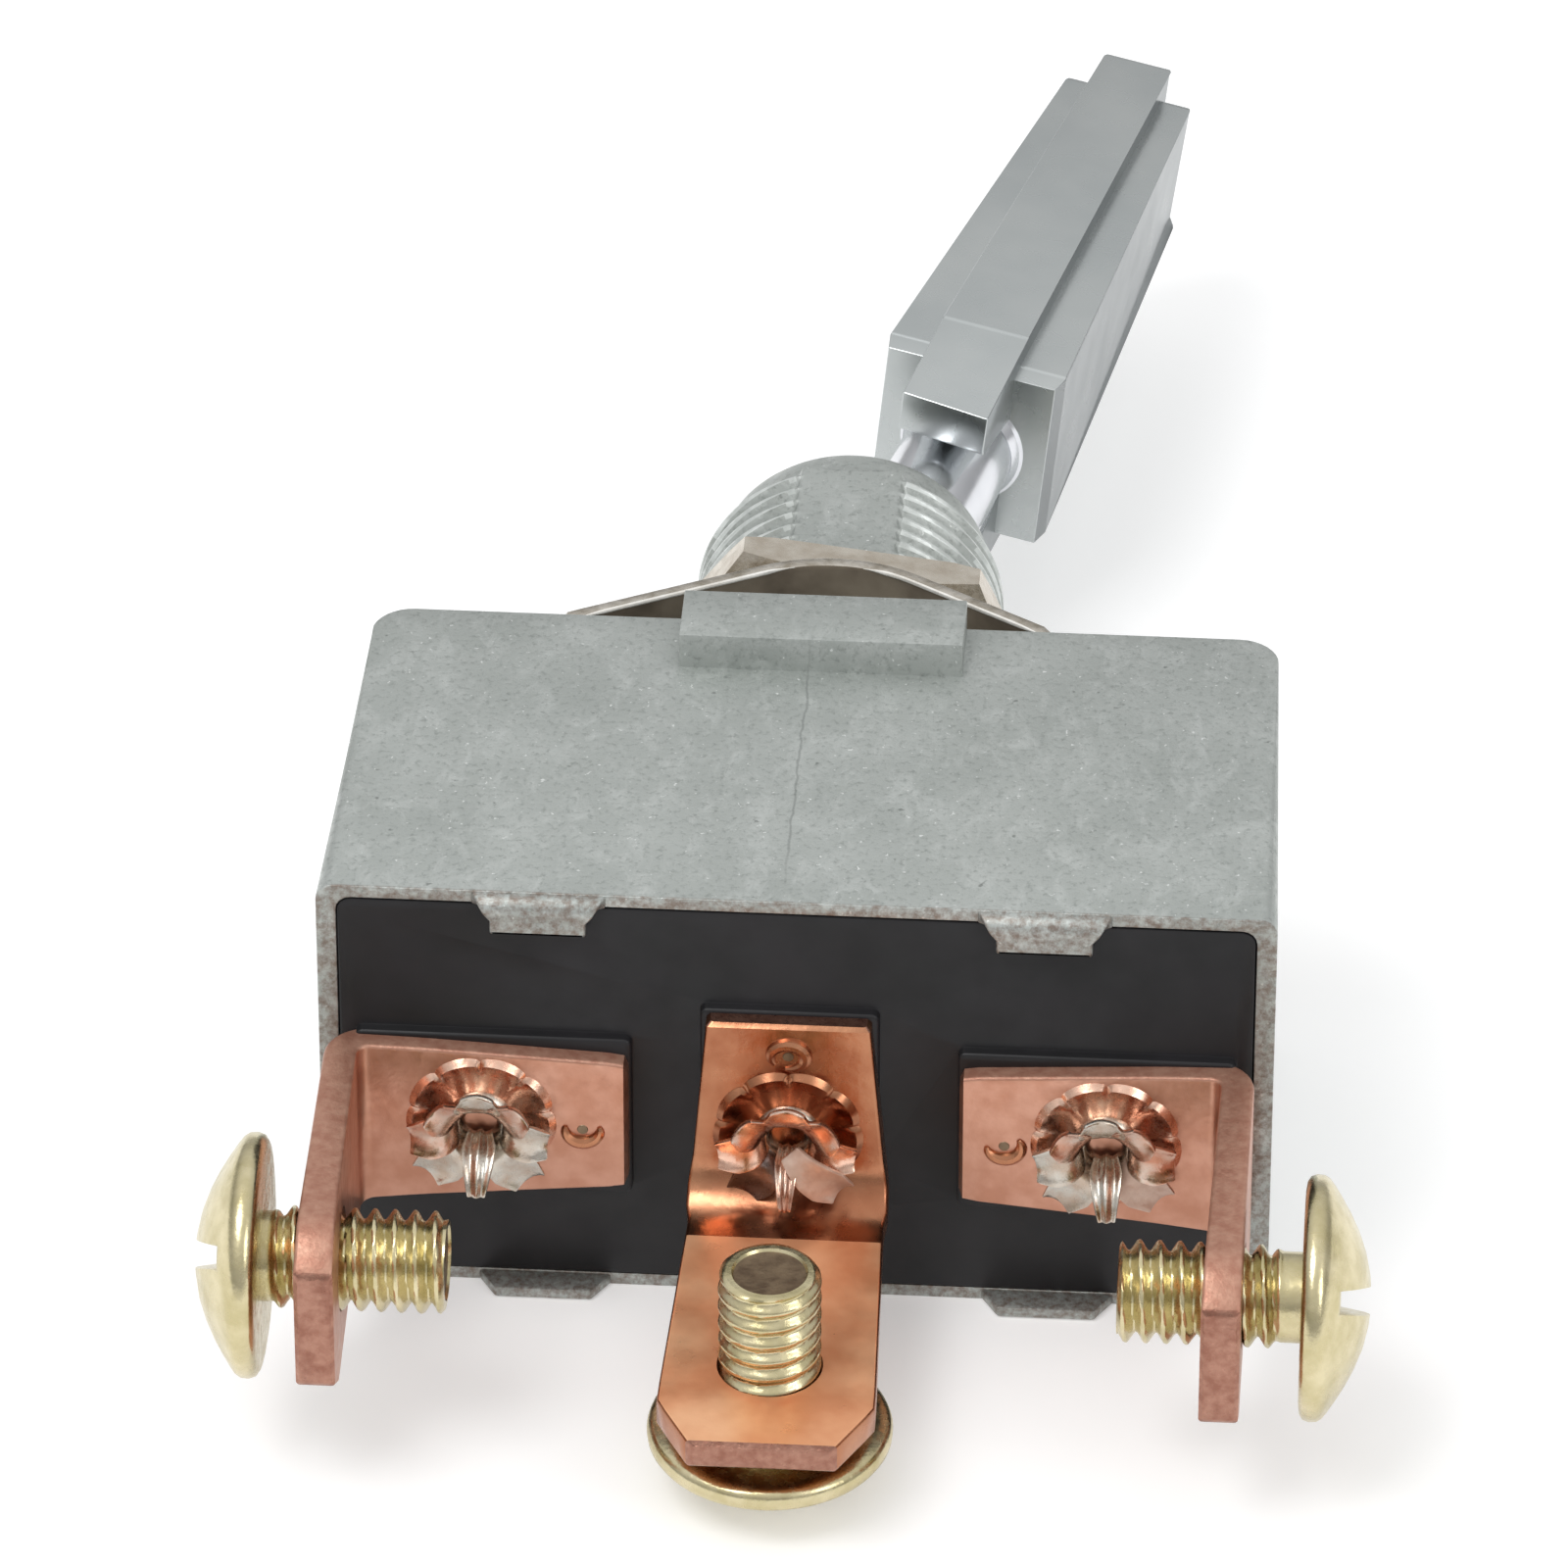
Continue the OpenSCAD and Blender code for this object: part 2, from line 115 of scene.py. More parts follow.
def millimetres(tree):
    """Object coordinates in millimetres."""
    coords = add_node(tree, "ShaderNodeTexCoord")
    scaled = add_node(tree, "ShaderNodeVectorMath", {0: coords.outputs["Object"]},
                      operation="SCALE")
    scaled.inputs["Scale"].default_value = 1 / MM
    return scaled.outputs[0]


def noise(tree, where, size, detail=3.0, rough=0.55, distortion=0.0):
    """Noise with features of about size millimetres, from 0 to 1."""
    node = add_node(tree, "ShaderNodeTexNoise",
                    {"Vector": where, "Scale": 1 / size, "Detail": detail,
                     "Roughness": rough, "Distortion": distortion})
    return node.outputs["Fac"]


def remap(tree, value, low, high, to_low=0.0, to_high=1.0):
    """value taken from low..high to to_low..to_high, and held at the ends."""
    node = add_node(tree, "ShaderNodeMapRange",
                    {"Value": value, "From Min": low, "From Max": high,
                     "To Min": to_low, "To Max": to_high})
    return node.outputs["Result"]


def mix(tree, amount, first, second):
    """Two colours mixed."""
    node = add_node(tree, "ShaderNodeMix", data_type="RGBA")
    for socket, value in ((node.inputs[0], amount), (node.inputs[6], first),
                          (node.inputs[7], second)):
        if isinstance(value, bpy.types.NodeSocket):
            tree.links.new(value, socket)
        elif isinstance(value, (int, float)):
            socket.default_value = value
        else:
            socket.default_value = (*value, 1.0)
    return node.outputs[2]


def calculate(tree, operation, first, second=0.0):
    """One step of arithmetic."""
    node = add_node(tree, "ShaderNodeMath", {0: first, 1: second}, operation=operation)
    return node.outputs[0]


def surface(material):
    """The inputs of a material's Principled BSDF."""
    return material.node_tree.nodes["Principled BSDF"].inputs


def finish(name, dark, light, metallic, rough, blotch=1.5, rough_spread=0.08,
           grain=0.25, bump=0.15):
    """A procedural finish: two tones in blotches, uneven roughness and a fine grain.

    blotch and grain are the sizes of their features in millimetres.
    """
    material = bpy.data.materials.new(name)
    material.use_nodes = True
    tree = material.node_tree
    inputs = surface(material)
    where = millimetres(tree)
    tone = remap(tree, noise(tree, where, blotch), 0.35, 0.65)
    tree.links.new(mix(tree, tone, dark, light), inputs["Base Color"])
    spread = remap(tree, noise(tree, where, blotch * 0.4), 0.3, 0.7,
                   rough - rough_spread, rough + rough_spread)
    tree.links.new(spread, inputs["Roughness"])
    inputs["Metallic"].default_value = metallic
    if bump:
        relief = add_node(tree, "ShaderNodeBump",
                          {"Height": noise(tree, where, grain, 4), "Strength": bump,
                           "Distance": 0.05 * MM})
        tree.links.new(relief.outputs[0], inputs["Normal"])
    return material


def cast_zinc(name, seam):
    """Dull die-cast zinc: clouds, flow marks, grain, pits and bright specks.

    With seam it also gets the crack-like line down the front face and a burr on the rim.
    """
    material = bpy.data.materials.new(name)
    material.use_nodes = True
    tree = material.node_tree
    inputs = surface(material)
    where = millimetres(tree)
    axes = add_node(tree, "ShaderNodeSeparateXYZ", {0: where}).outputs
    stretched = add_node(tree, "ShaderNodeMapping", {"Vector": where, "Scale": (1.0, 0.6, 1.0)})
    flow = noise(tree, stretched.outputs[0], 1.1, 6, 0.68, 0.5)
    cloud = noise(tree, where, 5.0, 3, 0.5)
    fine = noise(tree, where, 0.3, 5, 0.72)
    color = mix(tree, remap(tree, cloud, 0.3, 0.7), (0.40, 0.425, 0.405), (0.475, 0.50, 0.48))
    color = mix(tree, remap(tree, flow, 0.49, 0.68, 0.0, 0.75), color, (0.56, 0.585, 0.565))
    color = mix(tree, remap(tree, fine, 0.32, 0.48, 0.6, 0.0), color, (0.23, 0.25, 0.235))
    pits = noise(tree, where, 0.55, 2, 0.5)
    color = mix(tree, remap(tree, pits, 0.22, 0.28, 0.6, 0.0), color, (0.13, 0.14, 0.13))
    specks = noise(tree, where, 0.25, 2, 0.5)
    color = mix(tree, remap(tree, specks, 0.70, 0.76, 0.0, 0.7), color, (0.86, 0.88, 0.86))
    if seam:
        wander = remap(tree, noise(tree, where, 2.0, 4, 0.6), 0.3, 0.7, -0.62, -0.42)
        off = calculate(tree, "ABSOLUTE", calculate(tree, "SUBTRACT", axes["X"], wander))
        line = remap(tree, off, 0.02, 0.07, 1.0, 0.0)
        front = remap(tree, axes["Z"], 9.3, 9.5)
        near = remap(tree, axes["Y"], -26.0, -22.5)
        far = remap(tree, axes["Y"], -10.0, -11.5)
        seen = calculate(tree, "MULTIPLY", calculate(tree, "MULTIPLY", line, front),
                         calculate(tree, "MULTIPLY", near, far))
        color = mix(tree, calculate(tree, "MULTIPLY", seen, 0.4), color, (0.13, 0.14, 0.135))
        rim = remap(tree, axes["Y"], OPEN_END + 0.15, OPEN_END + 0.05)
        burr = remap(tree, noise(tree, where, 0.35, 4, 0.7), 0.35, 0.62, 0.85, 0.0)
        color = mix(tree, calculate(tree, "MULTIPLY", rim, burr), color, (0.20, 0.15, 0.12))
    tree.links.new(color, inputs["Base Color"])
    tree.links.new(remap(tree, flow, 0.3, 0.7, 0.55, 0.36), inputs["Roughness"])
    inputs["Metallic"].default_value = 0.72
    height = calculate(tree, "ADD", calculate(tree, "MULTIPLY", flow, 1.2), fine)
    relief = add_node(tree, "ShaderNodeBump", {"Height": height, "Strength": 0.5,
                                               "Distance": 0.06 * MM})
    tree.links.new(relief.outputs[0], inputs["Normal"])
    return material


ZINC = cast_zinc("zinc_case", True)
ZINC_PLAIN = cast_zinc("zinc_bushing", False)
# Lighter, less metallic zinc for the bushing thread's crests: painted highlight
ZINC_CREST_HIGHLIGHT = finish("zinc_thread_crest_painted_highlight", (0.52, 0.55, 0.53), (0.70, 0.73, 0.71), 0.4, 0.35,
                    blotch=0.8, grain=0.25, bump=0.4)
PHENOLIC = finish("phenolic", (0.011, 0.011, 0.012), (0.016, 0.015, 0.017), 0.0, 0.42,
                  blotch=4.0, grain=0.5, bump=0.12)
surface(PHENOLIC)["Specular IOR Level"].default_value = 0.3
COPPER = finish("copper_strip", (0.52, 0.25, 0.165), (0.62, 0.33, 0.235), 0.92, 0.36,
                blotch=1.3, grain=0.2, bump=0.2)
# Cut edges of the copper strips: their own sheared finish, made darker as painted shade on the
# lower edges and ends
COPPER_CUT_SHADED = finish("copper_cut_edge_painted_shade", (0.30, 0.135, 0.095), (0.42, 0.22, 0.16), 0.95, 0.32,
                    blotch=0.5, grain=0.15, bump=0.5)
# A lighter copy of the cut-edge copper for the upper edges: painted light from above
COPPER_TOP_LIT = finish("copper_top_edge_painted_light", (0.40, 0.185, 0.125), (0.50, 0.27, 0.19), 0.5, 0.40,
                    blotch=0.5, grain=0.15, bump=0.4)
COPPER_BRIGHT = finish("copper_bright", (0.385, 0.15, 0.078), (0.52, 0.245, 0.135), 1.0, 0.27,
                       blotch=3.0, rough_spread=0.1, grain=0.5, bump=0.25)
# A much lighter, less metallic copy of the centre terminal's copper for its leg's upper face:
# painted light from above
COPPER_LEG_LIT = finish("copper_leg_painted_light", (0.76, 0.32, 0.155), (0.95, 0.52, 0.29), 0.52, 0.36,
                    blotch=3.5, rough_spread=0.1, grain=0.5, bump=0.2)
COPPER_PALE = finish("copper_pale", (0.74, 0.42, 0.30), (0.90, 0.60, 0.46), 1.0, 0.26,
                     blotch=0.7, grain=0.3, bump=0.25)
TIN = finish("tin", (0.50, 0.40, 0.32), (0.60, 0.57, 0.51), 1.0, 0.25, blotch=0.9,
             grain=0.3, bump=0.3)
TIN_COPPER = finish("tin_over_copper", (0.55, 0.26, 0.17), (0.62, 0.50, 0.42), 1.0, 0.24,
                    blotch=1.0, grain=0.3, bump=0.3)
TIN_BEIGE = finish("worn_tin", (0.52, 0.34, 0.26), (0.66, 0.50, 0.41), 0.4, 0.38, blotch=0.8,
                   grain=0.2, bump=0.5)
TIN_DARK = finish("dark_tin", (0.20, 0.15, 0.14), (0.32, 0.25, 0.23), 1.0, 0.3, blotch=0.8,
                  grain=0.3, bump=0.3)
BRASS = finish("pale_brass", (0.55, 0.48, 0.27), (0.70, 0.62, 0.40), 1.0, 0.25, blotch=1.4,
               grain=0.3, bump=0.25)
# Dark brown for the screws' unplated ends, also used as painted shade for the dimples' pits
BROWN_END_AND_PIT_SHADE = finish("unplated_end_and_painted_pit_shade", (0.16, 0.11, 0.07), (0.26, 0.19, 0.12), 0.8, 0.4,
                   blotch=0.6, grain=0.2, bump=0.4)
CHROME = finish("satin_chrome", (0.50, 0.53, 0.53), (0.56, 0.585, 0.58), 1.0, 0.27,
                blotch=6.0, rough_spread=0.03, bump=0.0)
# A darker copy of the satin chrome for faces turned to +X: painted shade
CHROME_SHADED_SIDE = finish("chrome_side_painted_shade", (0.26, 0.28, 0.285), (0.32, 0.34, 0.345), 1.0, 0.30,
                     blotch=6.0, rough_spread=0.03, bump=0.0)
BRIGHT_CHROME = finish("bright_chrome", (0.70, 0.71, 0.74), (0.78, 0.79, 0.82), 1.0, 0.19,
                       blotch=3.0, rough_spread=0.04, grain=0.6, bump=0.05)
NICKEL = finish("warm_nickel", (0.52, 0.46, 0.38), (0.66, 0.61, 0.53), 1.0, 0.26, blotch=1.0,
                grain=0.3, bump=0.2)
WASHER_NICKEL = finish("washer_nickel", (0.42, 0.37, 0.29), (0.58, 0.53, 0.44), 1.0, 0.25,
                       blotch=1.6, grain=0.3, bump=0.2)
WASHER_CUT = finish("washer_cut_edge", (0.36, 0.32, 0.26), (0.62, 0.58, 0.52), 1.0, 0.28,
                    blotch=0.8, grain=0.2, bump=0.5)
# Darker, less metallic washer colour for faces turned to the case: painted shade
WASHER_UNDER_SHADE = finish("washer_underside_painted_shade", (0.17, 0.135, 0.10), (0.30, 0.25, 0.19), 0.3, 0.45,
                      blotch=2.5, grain=0.3, bump=0.2)
# Near-white, barely metallic colour for a thin rod along the washer's edge: painted highlight
WASHER_EDGE_HIGHLIGHT = finish("washer_edge_painted_highlight", (0.72, 0.69, 0.63), (0.90, 0.88, 0.84), 0.2, 0.35,
                     blotch=0.8, grain=0.2, bump=0.4)
STEEL = finish("plain_steel", (0.48, 0.48, 0.48), (0.62, 0.62, 0.62), 1.0, 0.3)
SILVER = finish("silver_alloy", (0.70, 0.70, 0.68), (0.85, 0.85, 0.83), 1.0, 0.3)
FIBRE = finish("fibre_sheet", (0.42, 0.31, 0.19), (0.55, 0.43, 0.28), 0.0, 0.75, grain=0.15)
MOULDING = finish("brown_moulding", (0.17, 0.09, 0.05), (0.24, 0.13, 0.075), 0.0, 0.45)
NYLON = finish("nylon", (0.78, 0.77, 0.71), (0.86, 0.85, 0.80), 0.0, 0.4)
PALE_FLOOR = finish("pale_floor", (0.80, 0.80, 0.80), (0.81, 0.81, 0.81), 0.0, 0.9, blotch=60,
                    bump=0)
surface(PALE_FLOOR)["Emission Color"].default_value = (1, 1, 1, 1)
surface(PALE_FLOOR)["Emission Strength"].default_value = 0.3


# ---------------------------------------------------------------- mesh helpers


def make(name, verts, faces, material):
    """A closed mesh drawn in millimetres."""
    mesh = bpy.data.meshes.new(name)
    mesh.from_pydata([tuple(map(float, v)) for v in verts], [], [tuple(f) for f in faces])
    work = bmesh.new()
    work.from_mesh(mesh)
    bmesh.ops.remove_doubles(work, verts=work.verts, dist=1e-4)
    bmesh.ops.recalc_face_normals(work, faces=work.faces)
    work.to_mesh(mesh)
    work.free()
    mesh.materials.append(material)
    thing = bpy.data.objects.new(name, mesh)
    scene.collection.objects.link(thing)
    return thing


def settle(thing):
    """Turns the object's modifiers into mesh."""
    bpy.context.view_layer.update()
    seen = thing.evaluated_get(bpy.context.evaluated_depsgraph_get())
    mesh = bpy.data.meshes.new_from_object(seen)
    thing.modifiers.clear()
    thing.data = mesh
    return thing


def bevel(thing, width, segments, angle=35.0):
    """Rounds the edges sharper than angle."""
    mod = thing.modifiers.new("bevel", "BEVEL")
    mod.width = width
    mod.segments = segments
    mod.limit_method = "ANGLE"
    mod.angle_limit = math.radians(angle)
    return settle(thing)


def combine(thing, other, operation):
    """thing after a boolean with other, which is used up."""
    mod = thing.modifiers.new("boolean", "BOOLEAN")
    mod.object = other
    mod.operation = operation
    mod.solver = "EXACT"
    settle(thing)
    bpy.data.objects.remove(other)
    return thing


def join(thing, *others):
    """One object from several, each keeping its materials."""
    for other in others:
        work = bmesh.new()
        work.from_mesh(thing.data)
        first = len(work.faces)
        work.from_mesh(other.data)
        work.faces.ensure_lookup_table()
        slots = []
        for material in other.data.materials:
            if material.name not in thing.data.materials:
                thing.data.materials.append(material)
            slots.append(thing.data.materials.find(material.name))
        for face in work.faces[first:]:
            face.material_index = slots[face.material_index]
        work.to_mesh(thing.data)
        work.free()
        bpy.data.objects.remove(other)
    return thing


def turn(thing, degrees, axis):
    """Turns the mesh about the origin."""
    thing.data.transform(Matrix.Rotation(math.radians(degrees), 4, axis))
    return thing


def move(thing, x, y, z):
    """Moves the mesh, in millimetres."""
    thing.data.transform(Matrix.Translation((x, y, z)))
    return thing


def put(thing, body, nodes=(), smooth=32.0):
    """Scales a finished piece to metres and hands it to its CAD body."""
    thing.data.transform(Matrix.Scale(MM, 4))
    thing.data.polygons.foreach_set("use_smooth", [True] * len(thing.data.polygons))
    thing.data.set_sharp_from_angle(angle=math.radians(smooth))
    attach(thing, body)
    if nodes:
        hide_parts(*nodes)
    return thing


def grid_faces(rows, cols, close_cols=True):
    """Quads over a grid of vertices stored row by row."""
    faces = []
    for r in range(rows - 1):
        for c in range(cols if close_cols else cols - 1):
            d = (c + 1) % cols
            a = r * cols
            b = a + cols
            faces.append((a + c, a + d, b + d, b + c))
    return faces


def tube(name, rings, material, cap_start=True, cap_end=True):
    """A skin over rings of equal length, closed at its ends."""
    rings = np.asarray(rings, float)
    rows, cols = rings.shape[:2]
    faces = grid_faces(rows, cols)
    if cap_start:
        faces.append(tuple(range(cols - 1, -1, -1)))
    if cap_end:
        faces.append(tuple((rows - 1) * cols + c for c in range(cols)))
    return make(name, rings.reshape(-1, 3), faces, material)


def revolve(name, profile, material, segments, closed=False):
    """A profile of (radius, height) turned about +Z."""
    angles = np.linspace(0, 2 * math.pi, segments, endpoint=False)
    rings = [[(r * math.cos(a), r * math.sin(a), h) for a in angles] for r, h in profile]
    if closed:
        rings.append(rings[0])
    return tube(name, rings, material, not closed, not closed)


def prism(name, outline, low, high, material, axis="Z"):
    """An outline with thickness along X, Y or Z; its points are in the other two axes."""
    place = {"X": lambda p, h: (h, p[0], p[1]), "Y": lambda p, h: (p[0], h, p[1]),
             "Z": lambda p, h: (p[0], p[1], h)}[axis]
    return tube(name, [[place(p, h) for p in outline] for h in (low, high)], material)


def brick(name, x, y, z, material):
    """A box from ranges along X, Y and Z."""
    outline = [(x[0], y[0]), (x[1], y[0]), (x[1], y[1]), (x[0], y[1])]
    return prism(name, outline, z[0], z[1], material)


def rounded_rectangle(x, y, radius, steps=4):
    """Points round a rectangle with round corners."""
    points = []
    corners = [(x[1] - radius, y[0] + radius, -90), (x[1] - radius, y[1] - radius, 0),
               (x[0] + radius, y[1] - radius, 90), (x[0] + radius, y[0] + radius, 180)]
    for cx, cy, start in corners:
        for k in range(steps + 1):
            a = math.radians(start + 90 * k / steps)
            points.append((cx + radius * math.cos(a), cy + radius * math.sin(a)))
    return points


def sheet(name, top, bottom, material):
    """A closed solid between two grids of points of the same shape."""
    top = np.asarray(top, float)
    bottom = np.asarray(bottom, float)
    rows, cols = top.shape[:2]
    count = rows * cols
    faces = grid_faces(rows, cols, close_cols=False)
    faces += [tuple(count + v for v in reversed(f)) for f in faces]
    border = list(range(cols))
    border += [r * cols + cols - 1 for r in range(1, rows)]
    border += [(rows - 1) * cols + c for c in range(cols - 2, -1, -1)]
    border += [r * cols for r in range(rows - 2, 0, -1)]
    for k, a in enumerate(border):
        b = border[(k + 1) % len(border)]
        faces.append((a, count + a, count + b, b))
    verts = np.concatenate([top.reshape(-1, 3), bottom.reshape(-1, 3)])
    return make(name, verts, faces, material)


def bent_path(first, corner, last, radius, steps=8):
    """Points and directions along two straight runs joined by a round bend."""
    first, corner, last = (np.array(p, float) for p in (first, corner, last))
    d1 = (corner - first) / np.linalg.norm(corner - first)
    d2 = (last - corner) / np.linalg.norm(last - corner)
    start, end = corner - d1 * radius, corner + d2 * radius
    center = start + d2 * radius
    path = [(first + (start - first) * t, d1) for t in np.linspace(0, 1, 14)]
    for k in range(1, steps):
        a = math.pi / 2 * k / steps
        path.append((center - d2 * radius * math.cos(a) + d1 * radius * math.sin(a),
                     d1 * math.cos(a) + d2 * math.sin(a)))
    path += [(end + (last - end) * t, d2) for t in np.linspace(0, 1, 22)]
    return path


def strip(name, path, width, thick, place, material, edge=0.16, flare=0.0):
    """A metal strip along a path: width(length so far, length left) gives its two edges."""
    points = np.array([p for p, _ in path])
    steps = np.linalg.norm(np.diff(points, axis=0), axis=1)
    along = np.concatenate([[0], np.cumsum(steps)])
    stations = [(points[0], path[0][1], 0.0, edge)]
    for (point, way), s in zip(path, along):
        nudge = edge if s == 0 else (-edge if s == along[-1] else 0.0)
        stations.append((point + way * nudge, way, s + nudge, 0.0))
    stations.append((points[-1], path[-1][1], along[-1], edge))
    rings = []
    for point, way, s, shrink in stations:
        low, high = width(s, along[-1] - s)
        side = np.array([-way[1], way[0]])
        half = (thick + flare * (s / along[-1]) ** 2) / 2 - shrink
        ring = rounded_rectangle((-half, half), (low + shrink, high - shrink),
                                 min(edge, half * 0.9), 3)
        rings.append([place(point + side * a, w) for a, w in ring])
    return tube(name, rings, material)


def rod(radius, start, end, axis, material):
    """A plain cylinder about X, Y or Z."""
    thing = revolve("rod", [(radius, start), (radius, end)], material, 48)
    if axis == "Y":
        turn(thing, -90, "X")
    if axis == "X":
        turn(thing, 90, "Y")
    return thing


# ---------------------------------------------------------------- case


def case_shell():
    """The cast box: drafted sides, round corners, and a thin wall at its open end."""
    mesh = bmesh.new()
    corners = []
    for y, half in ((OPEN_END, CASE_HALF_W), (SHOULDER, CASE_HALF_W - CASE_DRAFT)):
        for x, z in ((-half, -CASE_HALF_T), (half, -CASE_HALF_T), (half, CASE_HALF_T),
                     (-half, CASE_HALF_T)):
            corners.append(mesh.verts.new((x, y, z)))
    a, b = corners[:4], corners[4:]
    mesh.faces.new(a)
    mesh.faces.new(b[::-1])
    for k in range(4):
        mesh.faces.new((a[k], b[k], b[(k + 1) % 4], a[(k + 1) % 4]))
    bmesh.ops.recalc_face_normals(mesh, faces=mesh.faces)

    def chosen(test):
        return [e for e in mesh.edges if test(*(v.co for v in e.verts))]

    upright = chosen(lambda p, q: abs(p.z - q.z) > 10 and p.y > -10)
    bmesh.ops.bevel(mesh, geom=upright, offset=1.6, segments=8, profile=0.5,
                    affect="EDGES")
    sides = chosen(lambda p, q: abs(p.z - q.z) < 0.01 and abs(p.x) > 18 and p.x * q.x > 0
                   and abs(p.y - q.y) > 10)
    bmesh.ops.bevel(mesh, geom=sides, offset=0.7, segments=5, profile=0.5, affect="EDGES")
    data = bpy.data.meshes.new("case_shell")
    mesh.to_mesh(data)
    mesh.free()
    data.materials.append(ZINC)
    shell = bpy.data.objects.new("case_shell", data)
    scene.collection.objects.link(shell)
    seat = prism("seat", rounded_rectangle((-18.2, 18.2), (-9.05, 9.05), 0.6), -28, -22.52,
                 ZINC, "Y")
    combine(shell, seat, "DIFFERENCE")
    room = brick("room", (-17.6, 17.6), (-24, -9.15), (-8.4, 8.4), ZINC)
    combine(shell, room, "DIFFERENCE")
    combine(shell, rod(5.75, -12, -5, "Y", ZINC), "DIFFERENCE")
    bevel(shell, 0.16, 3, 40)
    return put(shell, "case", ["housing"])


def case_pad():
    """The raised pad on the front face, with a sloping near edge."""
    root = CASE_HALF_T - 0.3
    outline = [(SHOULDER, root), (SHOULDER, PAD_TOP), (SHOULDER - 3.25, PAD_TOP),
               (SHOULDER - 3.55, root)]
    pad = prism("case_pad", outline, -5.8, 5.7, ZINC, "X")
    bevel(pad, 0.05, 2)
    return put(pad, "case", ["housing"])


def crimp_tab(name, x):
    """A tab of the front wall folded down over the base."""
    path = bent_path((-26.4, 9.3), (-27.27, 9.3), (-27.27, 8.02), 0.36)

    def width(s, _):
        half = 2.65 - 0.75 * min(max((s - 0.5) / 0.9, 0), 1)
        return -half, half

    tab = strip(name, path, width, 0.55, lambda p, w: (x + w, p[0], p[1]), ZINC, 0.12)
    return put(tab, "case", ["housing"])


def straight_tab(name, x):
    """A tab of the back wall that stands straight out."""
    outline = [(x - 2.65, -25.5), (x + 2.65, -25.5), (x + 2.65, -26.9), (x + 1.95, -28.05),
               (x - 1.95, -28.05), (x - 2.65, -26.9)]
    tab = prism(name, outline, -9.59, -9.1, ZINC)
    bevel(tab, 0.14, 2)
    return put(tab, "case", ["housing"])


def screw_thread(angle, height, pitch, depth):
    """How far a thread stands over its root at an angle and height."""
    crest, root = 0.18, 0.14  # flat parts of one turn, as shares of the pitch
    phase = (height / pitch - angle / (2 * math.pi)) % 1.0
    flank = (1 - crest - root) / 2
    rise = np.clip(np.minimum((phase - root / 2) / flank, (1 - root / 2 - phase) / flank), 0, 1)
    return depth * rise


def bushing():
    """The threaded bushing: thread cut away along flats front and back, nose, and bore."""
    angles = np.linspace(0, 2 * math.pi, 360, endpoint=False)
    root, full_depth, flat_half = 5.98, 0.51, 2.05
    rings = []
    for y in np.arange(SHOULDER - 0.4, THREAD_TOP + 0.01, BUSHING_PITCH / 9):
        depth = full_depth * min(1.0, max(0.0, (THREAD_TOP + 0.15 - y) / 0.5))
        ring = []
        for a in angles:
            # The flats have no thread, and it reaches its depth 0.4 mm beyond their edges
            plane = BUSHING_FLAT / max(abs(math.sin(a)), 0.5)
            clear = float(np.clip((abs(math.cos(a)) * 6.4 - flat_half) / 0.4, 0, 1))
            r = (1 - clear) * plane + clear * root
            r = max(r, min(root + screw_thread(a, y, BUSHING_PITCH, depth), plane))
            ring.append((r * math.cos(a), y, r * math.sin(a)))
        rings.append(ring)

    def round_ring(r, y):
        return [(r * math.cos(a), y, r * math.sin(a)) for a in angles]

    for r, y in ((6.0, THREAD_TOP + 0.25), (5.97, THREAD_TOP + 0.6), (5.92, MOUTH - 1.1),
                 (5.8, MOUTH - 0.55), (5.6, MOUTH - 0.18), (5.35, MOUTH), (4.8, MOUTH),
                 (4.62, MOUTH - 0.15)):
        rings.append(round_ring(r, y))
    # The bore, from the mouth inward: it narrows, seats the ball and widens again
    socket_r, pin_slot_r = 4.05, 5.45
    for y in (10.0, 8.5, 7.0, 6.4, 6.0, 5.5, 5.1, 5.0, 4.0, 3.0, 2.0, 0.0, -2.0, -5.0,
              SHOULDER - 0.4):
        ball = math.sqrt(max(socket_r ** 2 - (y - PIVOT) ** 2, 0)) if y > PIVOT else socket_r
        way = 3.2 + 1.4 * (y - 6) / (MOUTH - 6) if y >= 6 else 0
        tail = socket_r + 1.7 * (2 - y) / 9.55 if y < 2 else 0
        bore_r = max(ball, way, tail)
        ring = []
        for a in angles:
            slot = y < 5.06 and abs(math.cos(a)) < 0.21
            r = max(bore_r, pin_slot_r) if slot else bore_r
            ring.append((r * math.cos(a), y, r * math.sin(a)))
        rings.append(ring)
    rings.append(rings[0])
    barrel = tube("case_bushing", rings, ZINC_PLAIN, False, False)
    # Painted highlight: the crests away from the flats take the lighter zinc
    crest_r = root + full_depth - 0.08
    paint_edges(barrel, ZINC_CREST_HIGHLIGHT,
                lambda c, n: c[1] < THREAD_TOP and abs(c[0]) > flat_half + 0.25
                and math.hypot(c[0], c[2]) > crest_r)
    return put(barrel, "case", ["housing"], 40)


